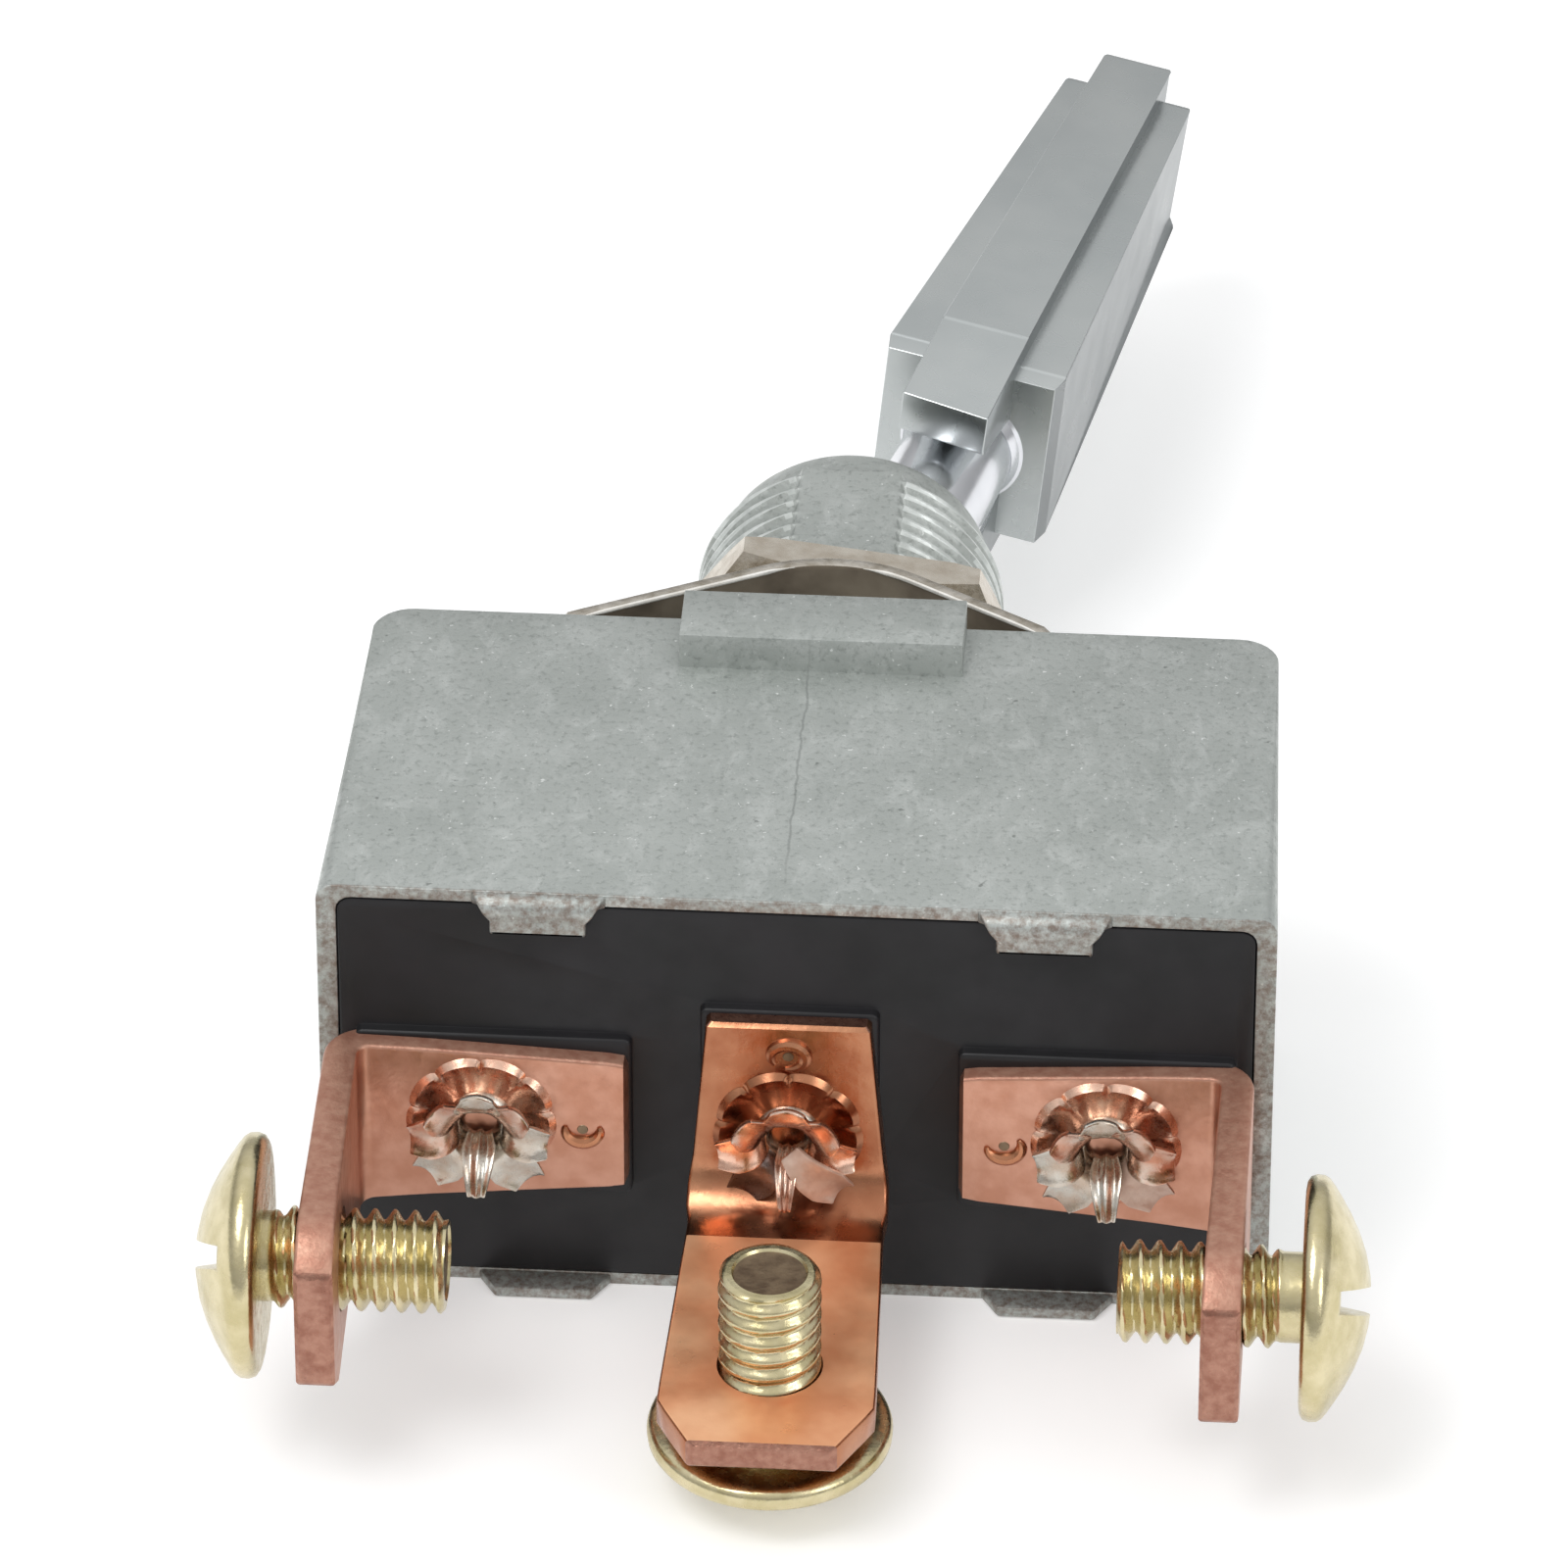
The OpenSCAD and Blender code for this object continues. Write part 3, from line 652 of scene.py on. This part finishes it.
def terminal_base():
    """The moulded base: round corners and a raised border round each terminal."""
    base = prism("base_moulding", rounded_rectangle((-18.15, 18.15), (-9.0, 9.0), 0.55),
                 BASE_FACE, -22.54, PHENOLIC, "Y")
    step = brick("base_step", (-17, 17), (-22.6, FLOOR_IN), (-7.8, 7.8), PHENOLIC)
    combine(base, step, "UNION")
    for x_span, z_span in (((-17.5, -6.5), (-4.6, 2.95)), ((6.5, 17.5), (-4.6, 2.95)),
                           ((-3.75, 3.35), (-3.0, 4.65))):
        seat = prism("base_seat", rounded_rectangle(x_span, z_span, 0.3), BASE_FACE - 0.5,
                     BASE_FACE + 0.5, PHENOLIC, "Y")
        bevel(seat, 0.1, 2)
        combine(base, seat, "UNION")
    for x in (-POLE_X, 0, POLE_X):
        z = CENTER_RIVET_Z if x == 0 else RIVET_Z
        hole = move(rod(1.5, -30, -20, "Y", PHENOLIC), x, 0, z)
        combine(base, hole, "DIFFERENCE")
    bevel(base, 0.15, 2)
    return put(base, "case", ["terminal_base"])


# ---------------------------------------------------------------- terminals and rivets


def taper(s, points):
    """Straight-line interpolation through (s, value) pairs."""
    return float(np.interp(s, [p[0] for p in points], [p[1] for p in points]))


def paint_edges(thing, material, test):
    """Gives the faces that pass the test another material."""
    thing.data.materials.append(material)
    index = len(thing.data.materials) - 1
    for face in thing.data.polygons:
        if test(face.center, face.normal):
            face.material_index = index


def outer_terminal(name, side, leg_x):
    """An outer terminal: plate on the base, and a leg along its side."""
    inner, bend_r = 6.6, 1.15
    plate_y = BASE_FACE - STRIP_T / 2
    tip = BASE_FACE - OUTER_LEG
    leg = leg_x - STRIP_T / 2
    path = bent_path((inner, plate_y), (leg, plate_y), (leg, tip), bend_r)
    bend = leg - inner - bend_r

    def width(s, left):
        low = taper(s, [(0, -3.75), (bend * 0.8, -4.55), (bend + 1.5, -5.0)])
        high = taper(s, [(0, 2.3), (bend * 0.8, 2.72), (bend + 1.0, 2.8)])
        cut = 1.25 * max(0.0, 1 - left / 1.9)
        ease = 0.3 * max(0.0, 1 - s / 0.3) ** 2
        return low + cut + ease, high - cut - ease

    def place(p, w):
        # The leg thickens toward its tip, and leans inward to clear its screw's head
        inward = 0.013 * max(0.0, PLATE_FACE - p[1])
        return side * (p[0] - inward), p[1], w

    leg_strip = strip(name, path, width, STRIP_T, place, COPPER, flare=0.3)
    hole = move(rod(SCREW_HOLE_R, leg_x - 3, leg_x + 2, "X", COPPER), 0, SCREW_Y, SCREW_Z)
    if side < 0:
        hole.data.transform(Matrix.Scale(-1, 4, (1, 0, 0)))
        hole.data.flip_normals()
    combine(leg_strip, hole, "DIFFERENCE")
    # Painted shade: the lower cut edges and the leg's end face take the darker cut-edge copper
    paint_edges(leg_strip, COPPER_CUT_SHADED,
                lambda c, n: n[2] < -0.55 or (n[1] < -0.6 and c[1] < PLATE_FACE - 2))
    # Painted light: the upper cut edges take the lighter copy
    paint_edges(leg_strip, COPPER_TOP_LIT, lambda c, n: n[2] > 0.55)
    return put(leg_strip, "case", [name])


def center_terminal():
    """The centre terminal: plate on the base, and a leg that runs out low."""
    plate_y = BASE_FACE - STRIP_T / 2
    low_z = CENTER_TOP_Z - STRIP_T / 2
    tip = BASE_FACE - CENTER_LEG
    path = bent_path((plate_y, 4.5), (plate_y, low_z), (tip, low_z), 2.6, 12)

    def width(s, left):
        half = taper(s, [(0, 3.27), (6.6, 3.82), (8.0, 4.0), (9.2, 4.03), (10.0, 3.9),
                         (21, 4.27)])
        half -= 1.4 * max(0.0, 1 - left / 2.6)
        return CENTER_X - half, CENTER_X + half

    leg = strip("terminal_center", path, width, STRIP_T, lambda p, w: (w, p[0], p[1]),
                COPPER_BRIGHT)
    hole = move(rod(SCREW_HOLE_R, -9, -1, "Z", COPPER), CENTER_X, CENTER_SCREW_Y, 0)
    combine(leg, hole, "DIFFERENCE")
    # Painted light: the leg's upper face takes the much lighter copper
    paint_edges(leg, COPPER_LEG_LIT, lambda c, n: n[2] > 0.75 and c[2] < -3 and c[1] < -31)
    # Painted shade: the leg's end face and the plate's upper cut edge, which mirrors the black
    # base, take the darker copper
    paint_edges(leg, COPPER_CUT_SHADED,
                lambda c, n: (c[1] < -42 and n[1] < -0.6) or (n[2] > 0.8 and c[2] > 4.3))
    return put(leg, "case", ["terminal_center"])


def petal(angle, line, width, thick, material, hollow, ridge):
    """A curled flap of a rivet.

    line gives (distance out, height over the plate), hollow dishes it across and ridge
    folds it lengthwise.
    """
    rows, cols = 16, 9
    fine = np.linspace(0, 1, rows)
    t = np.linspace(0, 1, len(line))
    out, high = (np.interp(fine, t, np.array(line, float)[:, k]) for k in (0, 1))
    for _ in range(3):
        out[1:-1] = (out[:-2] + 2 * out[1:-1] + out[2:]) / 4
        high[1:-1] = (high[:-2] + 2 * high[1:-1] + high[2:]) / 4
    half = np.interp(fine, np.linspace(0, 1, len(width)), width)
    way = np.stack([np.gradient(out), np.gradient(high)], 1)
    way /= np.linalg.norm(way, axis=1)[:, None]
    up = np.stack([-way[:, 1], way[:, 0]], 1)
    ca, sa = math.cos(math.radians(angle)), math.sin(math.radians(angle))
    top, bottom = [], []
    for k in range(rows):
        upper, lower = [], []
        for v in np.linspace(-1, 1, cols):
            side = v * half[k]
            curl = hollow * v * v * fine[k] + ridge * math.cos(2 * math.pi * v)
            for points, offset in ((upper, thick / 2), (lower, -thick / 2)):
                r = out[k] + up[k, 0] * (offset + curl)
                h = high[k] + up[k, 1] * (offset + curl)
                points.append((r * sa + side * ca, -h, r * ca - side * sa))
        top.append(upper)
        bottom.append(lower)
    return bevel(sheet("petal", top, bottom, material), 0.07, 2, 50)


def scalloped_ring(material):
    """The pressed ring of copper round a rivet, in lobes."""
    rings = []
    for a in np.linspace(0, 2 * math.pi, 144, endpoint=False):
        lobe = abs(math.sin(4.5 * a)) ** 0.45
        high, reach = 0.08 + 0.2 * lobe, 2.82 + 0.2 * lobe
        rings.append([(r * math.sin(a), -h, r * math.cos(a)) for r, h in (
            (1.2, -0.1), (1.2, 0.04), (2.1, 0.05), (2.4, high * 0.8), (reach - 0.25, high),
            (reach, 0.02), (reach, -0.1))])
    rings.append(rings[0])
    return tube("ring", rings, material, False, False)


# A petal's line, from the rivet's hole outward, and half its width along the line
STAND = [(0.8, -0.3), (0.95, 0.5), (1.2, 1.15), (1.7, 1.5), (2.3, 1.6)]
LEAN_OUT = [(0.85, -0.3), (1.0, 0.6), (1.4, 1.05), (2.0, 1.1), (2.75, 0.9)]
LIE = [(0.9, -0.3), (1.05, 0.6), (1.55, 0.9), (2.3, 0.65), (3.2, 0.3)]
TONGUE = [(0.5, 0.2), (0.8, 1.0), (1.15, 1.6), (1.65, 2.05), (2.25, 2.25)]
FLAP = [(0.2, 1.2), (0.8, 1.5), (1.5, 1.5), (2.2, 1.25), (2.95, 0.8)]
WIDE = [0.5, 0.68, 0.86, 0.95, 0.66]


def flower(name, x, z, petals, ring):
    """The split end of a rivet rolled outward, its pressed ring, shank and inner head."""
    parts = []
    for angle, line, scale, material in petals:
        if line is TONGUE:
            widths, thick, hollow, ridge = WIDE[::-1], 0.34, -0.12, 0.09
        else:
            widths, thick, hollow, ridge = WIDE, 0.26, 0.3, 0.0
        parts.append(petal(angle, line, [w * scale for w in widths], thick, material,
                           hollow, ridge))
    core = revolve("core", [(0, -0.9), (0.62, -0.9), (0.66, 0.2), (0.85, 0.45), (1.15, 0.3),
                            (1.35, 0.0), (1.35, -1.2), (0, -1.2)], TIN, 40)
    parts.append(turn(core, 90, "X"))
    parts.append(scalloped_ring(ring))
    shank = rod(1.48, 0.4, 6.4, "Y", TIN)
    head = revolve("head", [(0, -0.5), (2.4, -0.5), (2.6, 0), (2.65, 0.4), (2.4, 0.7),
                            (0, 0.7)], TIN, 48)
    turn(head, -90, "X")
    held = 5.9 if name == "rivet_center" else 5.1  # base and fulcrum, or base alone
    move(head, 0, held + STRIP_T, 0)
    whole = join(parts[0], *parts[1:], shank, head)
    whole.name = name
    move(whole, x, PLATE_FACE, z)
    return put(whole, "case", [name], 40)


def dimple(name, x, z, turned, sweep):
    """A small half-pierced mark beside a rivet: a crescent lip round a dark disc, painted shade
    for its pit.
    """
    rings = []
    for k in range(19):
        a = math.radians(turned + sweep * (k / 9 - 1))
        size = 0.3 * math.sin(math.pi * (k + 0.6) / 19.2) ** 0.5
        center = np.array([0.7 * math.sin(a), 0, -0.6 * math.cos(a)])
        out = center / np.linalg.norm(center)
        rings.append([center + size * (out * math.cos(b) - np.array([0, 1, 0]) * math.sin(b))
                      for b in np.linspace(0, 2 * math.pi, 10, endpoint=False)])
    lip = tube(name, rings, COPPER_BRIGHT)
    # Painted shade: a flat dark disc stands in for the shade inside the pit
    pit = revolve("pit", [(0, 0.03), (0.2, 0.03), (0.26, -0.05), (0, -0.05)], BROWN_END_AND_PIT_SHADE, 24)
    join(lip, turn(pit, 90, "X"))
    move(lip, x, PLATE_FACE, z)
    return put(lip, "case")


# ---------------------------------------------------------------- screws


def screw(name, plain, slot_turn, depth=0.42):
    """A slotted truss-head screw: head on z = 0, shank below, its thread cut to a chamfer.

    plain is the length without thread under the head, and depth is the thread's.
    """
    cols = 56
    angles = np.linspace(0, 2 * math.pi, cols, endpoint=False)
    length, end_r = SCREW_LENGTH, 1.72
    rings = [[(end_r * math.cos(a), end_r * math.sin(a), -length) for a in angles]]
    for z in np.arange(-length + 0.02, 0.3, SCREW_PITCH / 10):
        limit = min(SCREW_R, 1.82 + (z + length) * 1.1)
        fade = min(1.0, max(0.0, (-plain - z) / 0.4))
        ring = []
        for a in angles:
            ridge = float(screw_thread(a, z, SCREW_PITCH, depth))
            r = min(limit, SCREW_R - depth + ridge * fade + 0.18 * (1 - fade))
            ring.append((r * math.cos(a), r * math.sin(a), z))
        rings.append(ring)
    shank = tube(name, rings, BRASS, False, True)
    end = revolve("end", [(0, -length + 0.15), (0.9, -length + 0.13), (1.42, -length + 0.1),
                          (1.5, -length - 0.01), (end_r, -length), (1.65, -length + 0.3),
                          (0, -length + 0.3)], BROWN_END_AND_PIT_SHADE, cols)
    paint_edges(end, BRASS, lambda c, n: math.hypot(c[0], c[1]) > 1.44)
    head = revolve("head", [(0, 0), (4.2, 0.0), (4.55, 0.05), (4.76, 0.18), (4.85, 0.42),
                            (4.83, 0.72), (4.7, 0.93), (4.45, 1.12), (4.0, 1.42), (3.4, 1.78),
                            (2.7, 2.13), (1.9, 2.43), (1.0, 2.63), (0.4, 2.69), (0, 2.7)],
                   BRASS, 96)
    slot = prism("slot", [(-0.45, 1.5), (0.45, 1.5), (0.62, 3.5), (-0.62, 3.5)], -6, 6, BRASS,
                 "X")
    turn(slot, slot_turn, "Z")
    combine(head, slot, "DIFFERENCE")
    bevel(head, 0.08, 2, 50)
    return join(shank, end, head)


def side_screw(name, side, head_x, plain, slot_turn):
    """A screw of an outer terminal, with its head outward."""
    thing = screw(name, plain, slot_turn)
    turn(thing, 90 * side, "Y")
    move(thing, side * head_x, SCREW_Y, SCREW_Z)
    return put(thing, name + "_body", [name], 38)


def center_screw():
    """The centre terminal's screw, with its head under the leg."""
    thing = screw("screw_center", plain=0.5, slot_turn=25, depth=0.26)
    turn(thing, 180, "X")
    move(thing, CENTER_X, CENTER_SCREW_Y, CENTER_END_Z - SCREW_LENGTH)
    return put(thing, "screw_center_body", ["screw_center"], 38)


# ---------------------------------------------------------------- nut and washer


def hex_nut():
    """The panel nut: chamfered corners and a chamfered bore."""
    corner = 2 * NUT_HALF_FLATS / math.sqrt(3)
    nut = prism("hex_nut", [(corner * math.cos(math.radians(60 * k)),
                             corner * math.sin(math.radians(60 * k))) for k in range(6)],
                -NUT_T, 0.0, NICKEL)
    dish = revolve("dish", [(0, -NUT_T - 0.1), (8.35, -NUT_T - 0.1), (8.35, -NUT_T),
                            (10.4, -1.0), (10.4, -0.45), (9.3, 0.0), (9.3, 0.1), (0, 0.1)],
                   NICKEL, 96)
    combine(nut, dish, "INTERSECT")
    bore = revolve("bore", [(0, -3), (6.9, -3), (6.9, -NUT_T), (6.53, -1.75), (6.53, -0.35),
                            (6.9, 0.0), (6.9, 1), (0, 1)], NICKEL, 96)
    combine(nut, bore, "DIFFERENCE")
    bevel(nut, 0.08, 2, 25)
    turn(nut, -90, "X")
    turn(nut, NUT_TURN, "Y")
    return put(nut, "nut_body", ["hex_nut"], 30)


def washer_face(x, sink):
    """Height of the bowed washer at x, sink below its upper face, held at the shoulder."""
    crown = WASHER_CROWN_R - sink
    slope = math.radians(27.0 if x < 0 else 32.5)
    edge = crown * math.sin(slope)
    if abs(x) < edge:
        fall = crown - math.sqrt(crown ** 2 - x ** 2)
    else:
        fall = crown * (1 - math.cos(slope)) + (abs(x) - edge) * math.tan(slope)
    return max(-NUT_T - 0.01 - sink - fall, SHOULDER + 0.02)


def lock_washer():
    """The bowed washer, a thin leaf with a round hole and its ends flat on the shoulder."""
    cols, rows = 200, 13
    hole_r, half_t = 6.75, 9.4
    top, bottom = [], []
    for r in range(rows):
        upper, lower = [], []
        for c in range(cols):
            a = 2 * math.pi * c / cols
            way = np.array([math.cos(a), math.sin(a)])
            # How far each end reaches along X, and its trimmed corners from the axis
            reach, corner = (9.7, 13.0) if way[0] > 0 else (11.35, 14.2)
            edge = min(reach / max(abs(way[0]), 0.01), half_t / max(abs(way[1]), 0.01), corner)
            x, z = way * (hole_r + (edge - hole_r) * r / (rows - 1))
            upper.append((x, washer_face(x, 0), z))
            lower.append((x, washer_face(x, WASHER_T), z))
        top.append(upper)
        bottom.append(lower)
    loops = top + bottom[::-1] + [top[0]]
    leaf = tube("lock_washer", loops, WASHER_NICKEL, False, False)
    bevel(leaf, 0.07, 2, 50)
    paint_edges(leaf, WASHER_CUT, lambda c, n: abs(n[2]) > 0.8)
    # Painted shade: the faces turned to the case are darker
    paint_edges(leaf, WASHER_UNDER_SHADE, lambda c, n: n[1] < -0.3 and abs(n[2]) < 0.5)
    # Painted highlight: a thin near-white rod laid along each stretch of the washer's +Z edge
    for low, high in ((-10.3, -1.6), (1.2, 8.8)):
        burr = []
        for x in np.linspace(low, high, 40):
            thick = 0.1 * min(1.0, 8 * (x - low) / (high - low), 8 * (high - x) / (high - low))
            y, z = washer_face(x, WASHER_T), half_t - 0.02
            r = max(thick, 0.01)
            burr.append([(x, y + r * math.cos(b), z + r * math.sin(b))
                         for b in np.linspace(0, 2 * math.pi, 8, endpoint=False)])
        join(leaf, tube("burr", burr, WASHER_EDGE_HIGHLIGHT))
    return put(leaf, "case", ["lock_washer"], 40)


# ---------------------------------------------------------------- lever


def at_lever(thing):
    """Takes a piece drawn upright about its pivot to where the lever stands."""
    turn(thing, -LEAN, "Z")
    return move(thing, 0, PIVOT, 0)


def tapered_prism(name, outline, half, material):
    """An outline in (y, z) whose half width along X follows half(y)."""
    thing = prism(name, outline, -1, 1, material, "X")
    for vertex in thing.data.vertices:
        vertex.co.x *= half(vertex.co.y)
    return thing


def mirrored(points):
    """An outline in (y, z) completed by its own mirror image in z."""
    return points + [(y, -z) for y, z in reversed(points)]


def lever():
    """The handle: a broad bar with a rib on each side, a round stem, ball and hollow tail."""
    wings = tapered_prism(
        "lever", mirrored([(17.4, 4.05), (18.37, 4.07), (18.45, 4.13), (42.3, 3.16),
                           (42.5, 3.14), (42.65, 3.07), (42.75, 2.92)]),
        lambda y: taper(y, [(17.4, 3.75), (17.6, 3.9), (18.37, 3.95), (42.3, 2.94),
                            (42.5, 2.86), (42.65, 2.74), (42.75, 2.56)]), CHROME)
    bevel(wings, 0.12, 3, 25)
    # Painted shade: the wings' faces turned to +X are darker
    paint_edges(wings, CHROME_SHADED_SIDE, lambda c, n: n[0] > 0.8)
    rib = tapered_prism(
        "rib", mirrored([(17.6, 1.9), (12.95, 2.95), (12.85, 3.2), (12.9, 4.86), (19.1, 5.06),
                         (19.2, 5.12), (43.5, 4.12), (43.7, 4.1), (43.82, 4.02), (43.9, 3.85)]),
        lambda y: taper(y, [(12.85, 1.93), (12.95, 1.97), (19.2, 1.93), (43.5, 1.6),
                            (43.7, 1.5), (43.82, 1.38), (43.9, 1.2)]), CHROME)
    # The ribs' near ends are cut a little askew
    for vertex in rib.data.vertices:
        if vertex.co.y < 14:
            vertex.co.y -= 0.1 * (vertex.co.x - 2.0)
    bevel(rib, 0.06, 3, 25)
    # Painted shade: the rib's +X side is darker along its length
    paint_edges(rib, CHROME_SHADED_SIDE, lambda c, n: n[0] > 0.7 and c[1] > 14)
    stem = revolve("stem", [(0, -0.5), (2.4, -0.5), (2.4, 16.9), (2.62, 17.3), (2.9, 17.5),
                            (2.9, 18.5), (0, 18.5)], BRIGHT_CHROME, 72)
    turn(stem, -90, "X")
    ball_profile = [(0, -4.0)]
    for k in range(1, 24):
        a = math.pi * k / 24
        ball_profile.append((4.0 * math.sin(a), -4.0 * math.cos(a)))
    ball_profile.append((0, 4.0))
    ball = turn(revolve("ball", ball_profile, CHROME, 64), -90, "X")
    tail = revolve("tail", [(1.75, -13.45), (2.4, -13.5), (2.5, -13.35), (2.5, -2.0),
                            (0, -2.0), (0, -2.4), (1.75, -2.4)], CHROME, 64, closed=True)
    turn(tail, -90, "X")
    join(wings, rib)
    turn(wings, TWIST, "Y")
    join(wings, stem, ball, tail)
    return put(at_lever(wings), "lever_body", ["lever"], 22)


def spring():
    """The plunger's spring, drawn at one length; the real spring flattens as the plunger slides
    in.
    """
    wire, radius, turns = 0.25, 1.4, 5
    plunger_y, plunger_length, bore_top = -15.2, 8, -2.4
    low, high = plunger_y + plunger_length + wire + 0.02, bore_top - wire - 0.02
    steps = turns * 28
    rings = []
    for k in range(steps + 1):
        a = 2 * math.pi * turns * k / steps
        y = low + (high - low) * k / steps
        ring = []
        for b in np.linspace(0, 2 * math.pi, 10, endpoint=False):
            r = radius + wire * math.cos(b)
            ring.append((r * math.cos(a), y + wire * math.sin(b), -r * math.sin(a)))
        rings.append(ring)
    coil = put(at_lever(tube("plunger_spring_coil", rings, STEEL)), "lever_body",
               ["plunger_spring"], 60)
    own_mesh(coil)
    return coil


# ---------------------------------------------------------------- the object

case_shell()
case_pad()
crimp_tab("crimp_tab_left", x=-10.15)
crimp_tab("crimp_tab_right", x=9.85)
straight_tab("back_tab_left", x=-10.1)
straight_tab("back_tab_right", x=10.15)
bushing()
terminal_base()
outer_terminal("terminal_left", side=-1, leg_x=18.6)
outer_terminal("terminal_right", side=1, leg_x=18.25)
center_terminal()
flower("rivet_left", -POLE_X, RIVET_Z,
       [(0, STAND, 1, TIN), (-50, STAND, 1, TIN_COPPER), (48, STAND, 1, TIN_COPPER),
        (-96, LEAN_OUT, 1, TIN_COPPER), (97, LEAN_OUT, 0.95, TIN), (-138, LIE, 1.05, TIN),
        (143, LIE, 1.1, TIN), (181, TONGUE, 0.72, TIN)], COPPER_PALE)
flower("rivet_right", POLE_X, RIVET_Z,
       [(-4, STAND, 1, TIN), (-54, STAND, 0.95, TIN_COPPER), (44, STAND, 1, TIN_COPPER),
        (-100, LEAN_OUT, 1, TIN), (92, LEAN_OUT, 1, TIN_COPPER), (-144, LIE, 1, TIN),
        (136, LIE, 1.05, TIN_BEIGE), (176, TONGUE, 0.7, TIN)], COPPER_PALE)
flower("rivet_center", CENTER_X, CENTER_RIVET_Z,
       [(2, STAND, 1.05, TIN_COPPER), (-52, STAND, 1, TIN_COPPER), (52, STAND, 1.05, TIN_COPPER),
        (-98, LEAN_OUT, 0.9, COPPER_PALE), (98, LEAN_OUT, 0.8, COPPER_PALE),
        (-145, LIE, 0.95, TIN_DARK), (133, FLAP, 0.95, TIN_BEIGE),
        (180, TONGUE, 0.5, TIN_COPPER)], COPPER_BRIGHT)
dimple("dimple_left", x=-8.4, z=-0.95, turned=0, sweep=105)
dimple("dimple_right", x=8.4, z=-0.95, turned=20, sweep=105)
dimple("dimple_center", x=CENTER_X, z=3.04, turned=150, sweep=160)
side_screw("screw_left", side=-1, head_x=20.2, plain=0.3, slot_turn=125)
side_screw("screw_right", side=1, head_x=20.52, plain=0.8, slot_turn=55)
center_screw()
hex_nut()
lock_washer()
lever()
spring()

# Materials of the CAD's own nodes; the parts inside the case keep their CAD shapes
for node, material in {
    "insulating_liner": FIBRE, "fixed_contact_left": SILVER, "fixed_contact_right": SILVER,
    "fulcrum": COPPER, "blade_pin": STEEL, "contact_blade": COPPER_BRIGHT,
    "blade_tip_left": SILVER, "blade_tip_right": SILVER, "blade_carrier": MOULDING,
    "pivot_pin": STEEL, "plunger": NYLON, "housing": ZINC, "terminal_base": PHENOLIC,
    "terminal_left": COPPER, "terminal_right": COPPER, "terminal_center": COPPER_BRIGHT,
    "rivet_left": TIN, "rivet_right": TIN, "rivet_center": TIN_COPPER, "lever": CHROME,
    "plunger_spring": STEEL, "hex_nut": NICKEL, "lock_washer": WASHER_NICKEL,
    "screw_left": BRASS, "screw_right": BRASS, "screw_center": BRASS,
}.items():
    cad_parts[node].data.materials.clear()
    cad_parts[node].data.materials.append(material)

# ---------------------------------------------------------------- floor, light, camera

reach, floor_top = 3000, FLOOR_Z - 0.01
floor = make("floor", [(x * reach, y * reach, floor_top)
                       for x, y in ((-1, -1), (1, -1), (1, 1), (-1, 1))],
             [(0, 1, 2, 3)], PALE_FLOOR)
floor.data.transform(Matrix.Scale(MM, 4))

world = bpy.data.worlds.new("studio")
world.use_nodes = True
scene.world = world
sky = world.node_tree
spot = add_node(sky, "ShaderNodeTexCoord")
height = add_node(sky, "ShaderNodeSeparateXYZ", {0: spot.outputs["Generated"]})
level = remap(sky, height.outputs["Z"], 0.0, 1.0)
ramp = add_node(sky, "ShaderNodeValToRGB", {0: level})
stops = ramp.color_ramp.elements
for place in (0.30, 0.52, 0.75):
    stops.new(place)
for stop, shade in zip(stops, (0.42, 0.62, 0.84, 1.0, 1.15)):
    stop.color = (shade, shade * 1.005, shade * 1.01, 1)
sky.links.new(ramp.outputs[0], sky.nodes["Background"].inputs["Color"])
sky.nodes["Background"].inputs["Strength"].default_value = 0.85


def area_light(name, where, target, size, power):
    """A soft square light aimed at a point; all in metres and watts."""
    data = bpy.data.lights.new(name, "AREA")
    data.size = size
    data.energy = power
    lamp = bpy.data.objects.new(name, data)
    scene.collection.objects.link(lamp)
    lamp.location = where
    lamp.rotation_euler = (Vector(target) - Vector(where)).to_track_quat("-Z", "Y").to_euler()


area_light("key", (-0.25, -0.25, 0.6), (0, -0.01, 0), 0.30, 1.6)
area_light("fill", (0.45, -0.35, 0.35), (0, -0.01, 0), 0.25, 0.6)

# A long lens over the terminals' end, aimed down at the front face
camera_data = bpy.data.cameras.new("camera")
camera_data.sensor_width = 36
camera_data.lens = 270.0
camera_data.clip_end = 10
camera = bpy.data.objects.new("camera", camera_data)
scene.collection.objects.link(camera)
forward = Vector((-0.05460, 0.81776, -0.57296)).normalized()
top = Vector((-0.03817, 0.57169, 0.81958))
right = forward.cross(top).normalized()
top = right.cross(forward)
camera.matrix_world = Matrix.Translation((0.02464, -0.40261, 0.27859)) @ Matrix(
    (right, top, -forward)).transposed().to_4x4()
scene.camera = camera
scene.view_settings.view_transform = "Standard"
scene.view_settings.look = "None"
